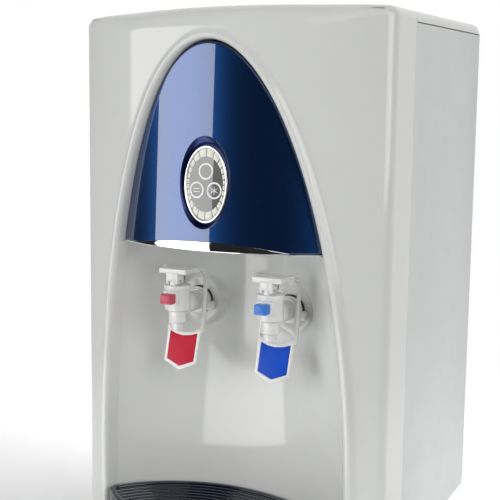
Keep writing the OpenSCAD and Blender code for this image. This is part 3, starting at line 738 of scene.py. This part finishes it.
def build_front_panel():
    shape = Shape()
    front_rings(shape)
    front_sides(shape)
    front_top(shape)
    front_returns(shape)
    front_niche(shape)
    niche_lip(shape)
    make(shape, "front_shell", "front_panel", keep=True)


# ---- dome ----


def dome_y(x, z):
    return FRONT - DOME_PROUD + (z - DOME_Z) * DOME_LEAN + DOME_R - sqrt(DOME_R**2 - x * x)


def dome(x, z):
    return Vector((x, dome_y(x, z), z))


def dome_pair(x, z, proud=0.0):
    normal = normal_of(dome, x, z)
    normal = normal if normal.y < 0 else -normal
    return dome(x, z) + normal * proud, normal


def in_dome(x, z, inset):
    low = DOME_Z + inset
    return z > low and abs(x) < arch_at(z, -DOME_GAP - inset)


def dome_edge_point(a, inset):
    """Point of the dome's edge in direction a from the display's middle."""
    c, s = cos(a), sin(a)
    reach = last_inside(lambda r: in_dome(r * c, DISPLAY_Z + r * s, inset), 20.0, 220.0, 40)
    return reach * c, DISPLAY_Z + reach * s


def dome_angles():
    """Directions from the display's middle, with steps on the dome's two lower corners."""
    half = arch_at(DOME_Z, -DOME_GAP)
    corner = atan2(DOME_Z - DISPLAY_Z, half)
    angles = spread(corner, pi - corner, 150)[:-1]
    return angles + spread(pi - corner, 2 * pi + corner, 70)[:-1]


RECESS_A, RECESS_B, RECESS_UP = 24.3, 39.8, 1.5
FACE_A, FACE_B, FACE_CROWN = 19.0, 31.4, 1.1
RING_A, RING_B = FACE_A + 1.7, FACE_B + 1.9
OVAL_STEPS = 96


def oval_point(a, half_width, half_height, up=0.0):
    """Where direction a meets an oval round the display's middle."""
    c, s = cos(a) / half_width, sin(a) / half_height
    reach = 1 / hypot(c, s)
    return reach * cos(a), DISPLAY_Z + up + reach * sin(a)


def build_dome():
    shape = Shape()
    angles = dome_angles()
    edge = 2.2
    near = [oval_point(a, RECESS_A, RECESS_B, RECESS_UP) for a in angles]
    far = [dome_edge_point(a, edge) for a in angles]
    steps = [blend_outline(near, far, mix) for mix in spread(0, 1, 30)]
    shape.grid([[dome_pair(*point) for point in step] for step in steps], wrap=True)
    rows = []
    for bend in spread(0, 90, 6):
        inset = edge * (1 - sin(radians(bend)))
        depth = edge * (1 - cos(radians(bend)))
        rows.append([dome_pair(*dome_edge_point(a, inset), proud=-depth) for a in angles])
    for depth in (4.5, 7.5):
        rows.append([dome_pair(*dome_edge_point(a, 0), proud=-depth) for a in angles])
    shape.grid([plain([p for p, _ in row]) for row in rows], wrap=True)
    make(shape, "dome_skin", "dome_cover", keep=True)


def build_crescent():
    """Mirror-bright lip along the dome's lower edge."""
    half, rise = 78.0, 8.0
    radius = (half**2 + rise**2) / (2 * rise)
    section = [(0, -0.5), (0, 0.1), (0.02, 0.25), (0.06, 0.32), (0.5, 0.36)]
    section += [(0.94, 0.32), (0.98, 0.25), (1, 0.1), (1, -0.5)]
    shape = Shape()
    sections = []
    for x in spread(-half, half, 80):
        top = max(0.35, sqrt(radius**2 - x * x) - radius + rise)
        outline = []
        for share, out in section:
            point, normal = dome_pair(x, DOME_Z + 0.25 + share * top)
            outline.append(point + normal * out)
        sections.append(outline)
    shape.loft(sections)
    make(shape, "dome_lip", "dome_trim", sharp=50)


# ---- display ----


def on_dome(depth=0.0):
    """Frame of the display: X across, Z up, +Y into the dome."""
    y = dome_y(0, DISPLAY_Z)
    lean = Matrix.Rotation(-atan(DOME_LEAN), 4, "X")
    return Matrix.Translation((0, y + depth, DISPLAY_Z)) @ lean


def oval_ring(half_width, half_height, depth):
    oval = []
    for a in circle(OVAL_STEPS):
        oval.append(on_dome() @ Vector((half_width * cos(a), depth, half_height * sin(a))))
    return oval


def recess_rim():
    """Edge of the hole in the dome."""
    rim = []
    for a in circle(OVAL_STEPS):
        x, z = RECESS_A * cos(a), DISPLAY_Z + RECESS_UP + RECESS_B * sin(a)
        rim.append(dome_pair(x, z)[0])
    return rim


def build_recess():
    shape = Shape()
    rim = recess_rim()
    inner = oval_ring(RING_A + 0.1, RING_B + 0.1, 3.9)
    rows = [rim]
    for share, sink in ((0.06, 0.4), (0.2, 1.3), (0.45, 2.6), (0.75, 3.6), (1.0, 3.9)):
        row = []
        for a, b in zip(rim, inner):
            point = a.lerp(b, share)
            point.y = a.y + (b.y - a.y) * (sink / 3.9)
            row.append(point)
        rows.append(row)
    rows.append(oval_ring(RING_A + 0.1, RING_B + 0.1, 7.0))
    shape.grid([plain(r) for r in rows], wrap=True)
    make(shape, "display_recess", "display_housing", sharp=50)


def build_ring():
    """Bright ring with a rounded front, as (width inside its outer edge, depth) steps."""
    section = [(0, 6.5), (0, 3.6), (0.2, 3.15), (0.6, 2.9), (1.5, 2.9)]
    section += [(1.9, 3.15), (2.1, 3.6), (2.15, 6.5), (0, 6.5)]
    shape = Shape()
    rows = [plain(oval_ring(RING_A - inset, RING_B - inset, depth)) for inset, depth in section]
    shape.grid(rows, wrap=True)
    make(shape, "display_bezel", "display_ring", sharp=60)


def crown_of(x, z):
    """How far the display's face swells forward at a point."""
    return FACE_CROWN * max(0.0, 1 - (x / FACE_A) ** 2 - (z / FACE_B) ** 2)


def build_face():
    shape = Shape()
    sections = [oval_ring(FACE_A, FACE_B, 6.4)]
    for share in (1.0, 0.9, 0.8, 0.68, 0.55, 0.4, 0.25, 0.1, 0.01):
        depth = 4.25 - FACE_CROWN * (1 - share**2)
        sections.append(oval_ring(FACE_A * share, FACE_B * share, depth))
    shape.loft(sections)
    make(shape, "display_plate", "display_face", sharp=60)


SEGMENTS = 24


def segment_outline(i):
    """One bar of the ring of bars: a slice between two ovals."""
    low, high = 2 * pi * i / SEGMENTS, 2 * pi * (i + 1) / SEGMENTS
    outline = []
    for half_width, half_height, way in ((FACE_A - 0.7, FACE_B - 0.7, 1), (FACE_A - 2.8, FACE_B - 7.6, -1)):
        arc = []
        for a in spread(low, high, 4):
            x, z = oval_point(a, half_width, half_height)
            gap = 0.4 / hypot(x, z - DISPLAY_Z)
            a = min(high - gap, max(low + gap, a))
            x, z = oval_point(a, half_width, half_height)
            arc.append((x, z - DISPLAY_Z))
        outline += arc[::way]
    return outline


def build_segments():
    shape = Shape()
    for i in range(SEGMENTS):
        outline = segment_outline(i)
        x = sum(p[0] for p in outline) / len(outline)
        z = sum(p[1] for p in outline) / len(outline)
        near = 4.0 - crown_of(x, z)
        shape.take(slab(outline, near, near + 0.9, 0.18, on_dome(), 2))
    make(shape, "display_bars", "display_segments")


LAMPS = [(0.0, 11.2), (-8.4, -5.0), (8.4, -5.0)]
LAMP_R = 7.2


def lamp_outline(shape, place, x, z):
    """Raised ring round a lamp, lying on the crowned face."""
    rows = []
    for inset, lift in ((0, -0.3), (0, 0.25), (0.2, 0.4), (1.3, 0.4), (1.5, 0.25), (1.5, -0.3), (0, -0.3)):
        row = []
        for p in ring_of((0, 0, 0), LAMP_R - inset, 64, "y"):
            px, pz = x + p.x * 0.96, z + p.z
            row.append((place @ Vector((px, 4.25 - crown_of(px, pz) - lift, pz)), None))
        rows.append(row)
    shape.grid(rows, wrap=True)


def build_lamp_marks():
    shape = Shape()
    place = on_dome()
    for x, z in LAMPS:
        lamp_outline(shape, place, x, z)
    (left_x, left_z), (right_x, right_z) = LAMPS[1:]
    near = 4.25 - crown_of(left_x, left_z) - 0.3
    for up in (-1.3, 1.3):
        bar = ((left_x - 3, near, left_z + up - 0.3), (left_x + 3, near + 0.7, left_z + up + 0.3))
        shape.take(block(*bar, 0.1, place))
    for turn in (0, 60, 120):
        middle = Matrix.Translation((right_x, near, right_z))
        spin = place @ middle @ Matrix.Rotation(radians(turn), 4, "Y")
        shape.take(block((-0.28, 0, -3.4), (0.28, 0.7, 3.4), 0.1, spin))
    make(shape, "display_marks", "lamp_marks")


# ---- taps ----


def to_tap(shape, side):
    """Moves a shape drawn at the origin to its tap: -1 hot, 1 cold."""
    place = Matrix.Translation((side * TAP_X, TAP_Y, 0))
    shape.points = [place @ p for p in shape.points]


def tap_barrel(shape):
    """Valve barrel with its collar, tapered skirt and outlet."""
    profile = [(0.01, 211), (3.9, 211), (5.3, 211.2), (5.8, 211.8), (5.8, 217.4), (6.1, 217.9), (7.4, 218.1)]
    profile += [(8.0, 218.6), (8.0, 227.6), (8.5, 229.0), (10.8, 229.9), (11.5, 230.4), (11.75, 231.2)]
    profile += [(11.75, 248.4), (12.0, 249.0), (12.35, 249.5), (12.35, 252.6), (12.1, 253.2), (11.4, 253.5)]
    profile += [(0.01, 253.5)]
    lathe(shape, (0, 0, 0), profile, count=56)


def tap_pipe(shape):
    profile = [(0.01, 4), (9.5, 4), (10.5, 6), (10.5, 16), (10.2, 18), (8.6, 19.2), (8.0, 20.5), (8.0, 35.4)]
    lathe(shape, (0, 0, PIPE_Z + 2), [(r, h) for r, h in profile] + [(0.01, 35.4)], "y", 48)
    lathe(shape, (0, 0, PIPE_Z), rounded(8.4, 6, 36, 0.6), "y", 48)
    lathe(shape, (0, 0, PIPE_Z), rounded(11.5, 35.4, 38.4, 0.7), "y", 48)


def tap_sleeve(shape):
    """Sleeve round the safety button and the lug above the barrel."""
    shape.take(block((-7.3, -14.2, 236.5), (7.3, -6, 248.7), 1.2))
    shape.take(block((-2.9, -9.4, 252), (2.9, -3, 258.6), 0.8))


def build_tap_body(name, side):
    shape = Shape()
    tap_barrel(shape)
    tap_pipe(shape)
    tap_sleeve(shape)
    to_tap(shape, side)
    make(shape, name + "_tap_valve", name + "_tap_body", sharp=42)


def build_tap_nut(name, side):
    shape = Shape()
    flange = [(0.01, 38.6)] + rounded(13, 38.6, 41.2, 0.8)[1:-1] + [(12.2, 41.2)]
    lathe(shape, (0, 0, PIPE_Z), flange + rounded(12.2, 41, 44.3, 0.4)[5:], "y", 56)
    wing = [(9.5, -9.2), (16.4, -8.2), (17, -1.4), (15.5, -0.2), (9.5, 0)]
    outline = [(x, PIPE_Z + up) for x, up in wing]
    shape.take(slab(outline, 38.8, 44.2, 0.7))
    to_tap(shape, side)
    make(shape, name + "_tap_collar", name + "_tap_nut", sharp=42)


def build_tap_gasket(name, side):
    shape = Shape()
    lathe(shape, (0, 0, PIPE_Z), rounded(13.4, 44.35, 45.95, 0.4), "y", 56)
    to_tap(shape, side)
    make(shape, name + "_tap_seal", name + "_tap_gasket")


def paddle_outline(grow):
    g = grow
    top = [(-13.9 - g, g * 1.8), (-8, g - 2.2), (0, g - 3.2), (8, g - 2.2), (13.9 + g, g * 1.8)]
    return top + [(13.6 + g * 0.9, -25.7 - g * 0.6), (0, -31.2 - g * 1.1), (-13.6 - g * 0.9, -25.7 - g * 0.6)]


def on_paddle():
    return Matrix.Translation((0, 12.4, 206)) @ Matrix.Rotation(radians(-16.7), 4, "X")


def lever_arm(shape, x):
    """One arm of the yoke: a bar swept back over the barrel and down to the paddle."""
    path = [(9.0, 267.0), (12.2, 266.9), (15.6, 266.0), (18.6, 264.2), (21.0, 261.6), (22.6, 258.4)]
    path += [(22.9, 254), (22.3, 240), (21.2, 226), (18.6, 214.5), (15.4, 206)]
    widths = [2.1, 2.1, 2.15, 2.2, 2.25, 2.3, 2.3, 2.4, 2.5, 2.5, 2.4]
    sections = []
    for i, (y, z) in enumerate(path):
        before, after = path[max(0, i - 1)], path[min(len(path) - 1, i + 1)]
        way = Vector((0, after[0] - before[0], after[1] - before[1])).normalized()
        across = Vector((0, -way.z, way.y))
        section = []
        for a in circle(16):
            c, s = cos(a), sin(a)
            px = 1.5 * copysign(abs(c) ** 0.45, c)
            pn = widths[i] * copysign(abs(s) ** 0.45, s)
            section.append(Vector((x + px, y, z)) + across * pn)
        sections.append(section)
    shape.loft(sections)


def lever_top(shape):
    """Press plate over the barrel, with a raised rib and wide shoulders."""
    outline = [(-14, -9.9), (-12.5, -10), (12.5, -10), (14, -9.9), (14, 3.5), (18.4, 6), (18.4, 12.1)]
    outline += [(-18.4, 12.1), (-18.4, 6), (-14, 3.5)]
    lying = Matrix(((1, 0, 0, 0), (0, 0, 1, 0), (0, 1, 0, 0), (0, 0, 0, 1)))
    shape.take(slab(outline, 264.1, 268.95, 0.9, lying))
    shape.take(block((-6, -11, 255.1), (-3.3, 3.4, 265), 0.6))
    shape.take(block((3.3, -11, 255.1), (6, 3.4, 265), 0.6))
    shape.take(block((-6, 0.2, 256.8), (6, 3.4, 265), 0.6))
    shape.take(block((-4.2, -11, 257.6), (4.2, -10.15, 265), 0.3))


def paddle_plate(shape):
    """Plate behind the coloured patch, with a raised rim."""
    place = on_paddle()
    outer, inner = paddle_outline(3.6), paddle_outline(0.35)
    shape.take(slab(outer, 0.9, 3.0, 0.7, place))
    rows = []
    for share, depth in ((0, 1.9), (0, 0.7), (0.25, 0.1), (0.75, 0.0), (1, 0.3), (1, 1.9)):
        outline = blend_outline(outer, inner, share)
        rows.append(plain([place @ Vector((x, depth, z)) for x, z in outline]))
    shape.grid(rows, wrap=True)


def build_lever(name, side):
    shape = Shape()
    for x in (-17, 17):
        lever_arm(shape, x)
    lever_top(shape)
    paddle_plate(shape)
    to_tap(shape, side)
    make(shape, name + "_lever_yoke", name + "_lever", sharp=42)
    patch = Shape()
    patch.take(slab(paddle_outline(0.15), -0.45, 1.0, 0.45, on_paddle()))
    to_tap(patch, side)
    make(patch, name + "_lever_patch", name + "_paddle_patch")


def build_button(name, side):
    shape = Shape()
    shape.take(block((-5.8, -22.6, 238.1), (5.8, -11.4, 247.1), 1.1))
    for z in (239.8, 242.2, 244.6):
        shape.take(block((-4.4, -22.9, z), (4.4, -22.0, z + 0.8), 0.2))
    to_tap(shape, side)
    make(shape, name + "_button_cap", name + "_button")


def build_taps():
    for name, side in (("hot", -1), ("cold", 1)):
        build_tap_body(name, side)
        build_tap_nut(name, side)
        build_tap_gasket(name, side)
        build_lever(name, side)
        build_button(name, side)


# ---- top, sides, seat and tray ----


def crown_point(x, y):
    return Vector((x, y, TOP - crown_drop(x, TOP)))


def build_top_cover():
    """Lid behind the front panel, with rounded side and rear edges and a round opening."""
    shape = Shape()
    seat_y = box_mid("bottle_seat").y
    near, far = SEAM + 0.4, REAR
    side, back = EDGE_SIDE, 6.0
    inner = [(p.x, seat_y + p.y) for p in ring_of((0, 0, 0), 72, 144)]
    outer = []
    for x, y in inner:
        dx, dy = x / 72, (y - seat_y) / 72
        limit_x = (HALF - side) / max(abs(dx), 1e-6)
        limit_y = ((far - back - seat_y) if dy > 0 else (seat_y - near)) / max(abs(dy), 1e-6)
        reach = min(limit_x, limit_y)
        outer.append((dx * reach, seat_y + dy * reach))
    rows = [plain([Vector((x, y, TOP - 12)) for x, y in inner])]
    for share in spread(0, 1, 8):
        rows.append(plain([crown_point(x, y) for x, y in blend_outline(inner, outer, share)]))
    shape.grid(rows, wrap=True)
    top_cover_edges(shape, near, far, side, back)
    make(shape, "lid", "top_cover", sharp=50)


def box_mid(node):
    low, high = box_mm(node)
    return (low + high) / 2


def top_cover_edges(shape, near, far, side, back):
    """Rounded rim of the lid, running along one side, the rear and the other side."""
    corner = 9.0
    base = TOP - 11.5
    left = [(-HALF, y, 0.0) for y in spread(near, far - corner, 12)]
    for a in spread(0, 90, 8)[1:]:
        c, n = cos(radians(a)), sin(radians(a))
        left.append((-HALF + corner - corner * c, far - corner + corner * n, a / 90))
    rear = [(x, far, 1.0) for x in spread(-HALF + corner, HALF - corner, 24)[1:-1]]
    path = left + rear + [(-x, y, share) for x, y, share in reversed(left)]
    rows = []
    for k in range(11):
        row = []
        for x, y, share in path:
            radius = side + (back - side) * share
            bend = max(0, k - 1) / 9 * pi / 2
            inset = radius * (1 - cos(bend))
            turn = share * pi / 2
            side_of = 1 if x > 0 else -1
            px = x - side_of * inset * cos(turn)
            py = y - inset * sin(turn)
            z = base if k == 0 else TOP - radius + radius * sin(bend)
            row.append(Vector((px, py, z - crown_drop(px, z))))
        rows.append(plain(row))
    shape.grid(rows)
    under = [Vector((p.x * 0.985, p.y if p.y < far - 5 else p.y - 2, base)) for p, _ in rows[0]]
    shape.grid([rows[0], plain(under)])


def build_side_panels():
    for name, side in (("left", -1), ("right", 1)):
        node = "side_panel_" + name
        low, high = box_mm(node)
        shape = Shape()
        shape.take(block(low, high, 1.1))
        make(shape, "side_sheet_" + name, node, sharp=60)


def build_bottle_seat():
    """Funnel turned about Z from a loop of (radius, height) pairs."""
    shape = Shape()
    middle = box_mid("bottle_seat")
    profile = [(29, 432.4), (29.4, 432), (30.6, 432), (31, 432.4), (31, 459), (31.8, 460.3), (59, 475.6)]
    profile += [(60.6, 477), (70.2, 498.6), (71.2, 500.0), (72.4, 500.4), (81.6, 500.4), (83.2, 500.8)]
    profile += [(83.9, 502), (83.5, 503.6), (82.2, 504.7), (80.6, 505), (71, 505), (69.4, 504.4)]
    profile += [(68.4, 503), (58.4, 479.6), (56.6, 477.6), (31, 463.2), (29.6, 462.2), (29, 461)]
    rings = [ring_of((middle.x, middle.y, h), r, 96) for r, h in profile + profile[:1]]
    shape.grid([plain(ring) for ring in rings], wrap=True)
    make(shape, "bottle_funnel", "bottle_seat", sharp=60)


NICHE_HALF = ARCH_HALF - 1
NICHE_SAG = NICHE_BACK - (BOW_R - sqrt(BOW_R**2 - NICHE_HALF**2))
NICHE_R = (NICHE_HALF**2 + NICHE_SAG**2) / (2 * NICHE_SAG)
NICHE_Y = FRONT + NICHE_BACK - NICHE_R
TRAY_HALF = box_mm("drip_basin")[1].x
TRAY_REACH = FRONT - box_mm("drip_basin")[0].y
TRAY_R = (112.0**2 + 48.0**2) / (2 * 48.0)
TRAY_Y = FRONT - TRAY_REACH + TRAY_R
TRAY_MID_Y = FRONT + 25


def in_tray(x, y, inset):
    behind = hypot(x, y - NICHE_Y) < NICHE_R - 1.2 - inset
    before = hypot(x, y - TRAY_Y) < TRAY_R - inset
    return behind and before and abs(x) < TRAY_HALF - inset


def tray_loop(inset, z):
    loop = []
    for a in circle(240):
        c, s = cos(a), sin(a)
        reach = last_inside(lambda r: in_tray(r * c, TRAY_MID_Y + r * s, inset), 5.0, 200.0, 30)
        loop.append(Vector((reach * c, TRAY_MID_Y + reach * s, z)))
    return loop


def build_basin():
    shape = Shape()
    low, high = box_mm("drip_basin")
    outside = [(30, 0), (0.9, 0), (0.2, 0.5), (0, 1.4)]
    rim = [(0, -0.9), (0.3, -0.2), (0.9, 0), (1.5, 0), (2.0, -0.3), (2.2, -0.9)]
    inside = [(2.2, 4), (3.4, 2.3), (5.5, 2), (30, 2)]
    steps = [(inset, low.z + up) for inset, up in outside]
    steps += [(inset, high.z + up) for inset, up in rim]
    steps += [(inset, low.z + up) for inset, up in inside]
    shape.loft([tray_loop(inset, z) for inset, z in steps])
    make(shape, "tray_basin", "drip_basin", sharp=50)


def slat_arc(shape, radius, top, base, width=4.0):
    """One curved slat with a rounded top, as far as it stays inside the rim."""
    angles = []
    for a in spread(0, 180, 360):
        x, y = radius * cos(radians(a)), NICHE_Y + radius * sin(radians(a))
        if in_tray(x, y, 4.8):
            angles.append(radians(a))
    if len(angles) < 4:
        return
    section = [(0, base), (0, top - 2.0)]
    for k in range(1, 8):
        bend = pi * k / 8
        section.append((width / 2 * (1 - cos(bend)), top - 2.0 * (1 - sin(bend))))
    section += [(width, top - 2.0), (width, base)]
    rows = []
    for a in angles:
        c, n = cos(a), sin(a)
        rows.append([Vector(((radius - w) * c, NICHE_Y + (radius - w) * n, z)) for w, z in section])
    shape.loft(rows)


def build_grille():
    shape = Shape()
    low, high = box_mm("drip_grille")
    base = high.z - 3.7
    rim = [(0.2, -3.7), (0.2, -1.0), (0.5, -0.3), (1.2, 0), (4.8, 0), (5.6, -0.3), (6.0, -1.0), (6.0, -3.7)]
    shape.grid([plain(tray_loop(inset, high.z + up)) for inset, up in rim + rim[:1]], wrap=True)
    radius = NICHE_R - 10.0
    while radius > 40:
        slat_arc(shape, radius, high.z - 0.4, base)
        radius -= 7.0
    for x in (-72, -24, 24, 72):
        shape.take(block((x - 1.2, FRONT - 16, base), (x + 1.2, FRONT + 74, base + 1.8), 0.3))
    lip = [(2.6, low.z), (2.6, base + 0.3), (4.2, base + 0.3), (4.2, low.z), (2.6, low.z)]
    shape.grid([plain(tray_loop(inset, z)) for inset, z in lip], wrap=True)
    make(shape, "tray_grille", "drip_grille", sharp=50)


# ---- stage, light and camera ----


def stage_piece(name, corners, colour):
    mesh = bpy.data.meshes.new(name)
    mesh.from_pydata(corners, [], [list(range(len(corners)))])
    finish = Finish(name, colour, 0.6)
    finish.shader.inputs["Emission Color"].default_value = (1, 1, 1, 1)
    mesh.materials.append(finish.material)
    piece = bpy.data.objects.new(name, mesh)
    bpy.context.scene.collection.objects.link(piece)
    return piece, finish


def fade(tree, source, start, end, target):
    """Drive a socket with a smooth step between two (position, value) ends."""
    ramp = tree.nodes.new("ShaderNodeMapRange")
    ramp.interpolation_type = "SMOOTHSTEP"
    for name, value in zip(("From Min", "To Min", "From Max", "To Max"), start + end):
        ramp.inputs[name].default_value = value
    tree.links.new(source, ramp.inputs["Value"])
    tree.links.new(ramp.outputs["Result"], target)


def build_floor():
    """Round pale floor, brighter behind the object, that fades out towards its rim."""
    corners = [p / MM for p in ring_of((0, 0, 0), 900, 128)]
    floor, finish = stage_piece("floor", corners, (0.86, 0.86, 0.86))
    finish.set(Specular_IOR_Level=0.0)
    along = finish.node("SeparateXYZ", "Vector", finish.place)
    glow, alpha = (finish.shader.inputs[name] for name in ("Emission Strength", "Alpha"))
    fade(finish.tree, along["Y"], (-0.22, 0.02), (0.22, 0.6), glow)
    away = finish.tree.nodes.new("ShaderNodeVectorMath")
    away.operation = "LENGTH"
    finish.tree.links.new(finish.place, away.inputs[0])
    fade(finish.tree, away.outputs["Value"], (0.42, 1.0), (0.88, 0.0), alpha)


def area_light(name, place, aim, size, power, glossy=True, diffuse=True):
    light = bpy.data.lights.new(name, "AREA")
    light.shape = "RECTANGLE"
    light.size, light.size_y = size
    light.energy = power
    lamp = bpy.data.objects.new(name, light)
    lamp.location = place
    lamp.rotation_euler = (Vector(aim) - Vector(place)).to_track_quat("-Z", "Y").to_euler()
    bpy.context.scene.collection.objects.link(lamp)
    lamp.visible_camera = False
    lamp.visible_glossy = glossy
    lamp.visible_diffuse = diffuse


def polar(azimuth, distance, height):
    """Point at an azimuth from the front (-Y), positive towards +X."""
    a = radians(azimuth)
    return distance * sin(a), -distance * cos(a), height


FRONT_GLOW = 0.018
BACK_GLOW = 0.9


def build_world():
    """Dark studio in front of the object and a bright backdrop behind it; the view itself is white."""
    world = bpy.data.worlds.new("studio")
    bpy.context.scene.world = world
    world.use_nodes = True
    tree = world.node_tree
    way = tree.nodes.new("ShaderNodeTexCoord")
    split = tree.nodes.new("ShaderNodeSeparateXYZ")
    tree.links.new(way.outputs["Generated"], split.inputs["Vector"])
    seen = tree.nodes.new("ShaderNodeLightPath")
    mix = tree.nodes.new("ShaderNodeMix")
    mix.inputs["B"].default_value = 1.0
    tree.links.new(seen.outputs["Is Camera Ray"], mix.inputs["Factor"])
    fade(tree, split.outputs["Y"], (0.05, FRONT_GLOW), (0.75, BACK_GLOW), mix.inputs["A"])
    tree.links.new(mix.outputs["Result"], tree.nodes["Background"].inputs["Strength"])
    tree.nodes["Background"].inputs["Color"].default_value = (1, 1, 1, 1)


def build_light():
    area_light("softbox", polar(-41, 1.7, 0.40), (0, -0.1, 0.36), (1.30, 1.25), 17.3)
    area_light("high_fill", polar(40, 1.3, 1.25), (0, -0.1, 0.25), (1.2, 1.1), 3.8)
    area_light("high_soft", polar(-8, 1.6, 1.05), (0, -0.1, 0.2), (1.2, 0.9), 3.4, glossy=False)
    area_light("side_fill", polar(62, 1.6, 0.7), (0, 0, 0.25), (0.9, 1.1), 8.6)
    area_light("front_fill", polar(28, 1.2, 0.25), (0, -0.1, 0.15), (0.8, 0.5), 1.1, glossy=False)
    area_light("edge_strip", polar(78, 1.6, 0.85), (0, 0, 0.3), (0.9, 1.3), 6, diffuse=False)
    area_light("top_fill", (0, 0.1, 1.9), (0, 0.1, 0), (0.8, 0.8), 5.0, glossy=False)


def build_reflector():
    """Bright card lying in front of the object: only glossy surfaces see it."""
    outline = [(-0.023, -0.238), (0.033, -0.791), (-0.526, -0.486), (-0.106, -0.173)]
    corners = [(x, y, 0.004) for x, y in outline]
    card, finish = stage_piece("reflector", corners, (0.8, 0.8, 0.8))
    finish.shader.inputs["Emission Strength"].default_value = 3.0
    card.visible_camera = False
    card.visible_diffuse = False
    card.visible_shadow = False


def build_camera():
    camera = bpy.data.cameras.new("camera")
    camera.sensor_width = 36
    camera.lens = 74.94
    camera.shift_x = 0.1946
    camera.shift_y = -0.0315
    camera.clip_end = 50
    eye = bpy.data.objects.new("camera", camera)
    eye.location = (0.41053, -0.94499, 0.42387)
    eye.rotation_euler = (radians(82.466), 0, radians(30.462))
    bpy.context.scene.collection.objects.link(eye)
    bpy.context.scene.camera = eye


def build_all():
    dress_cad_nodes()
    build_front_panel()
    build_dome()
    build_crescent()
    build_recess()
    build_ring()
    build_face()
    build_segments()
    build_lamp_marks()
    build_taps()
    build_top_cover()
    build_side_panels()
    build_bottle_seat()
    build_basin()
    build_grille()
    build_floor()
    build_world()
    build_light()
    build_reflector()
    build_camera()
    bpy.context.scene.view_settings.view_transform = "Standard"


build_all()
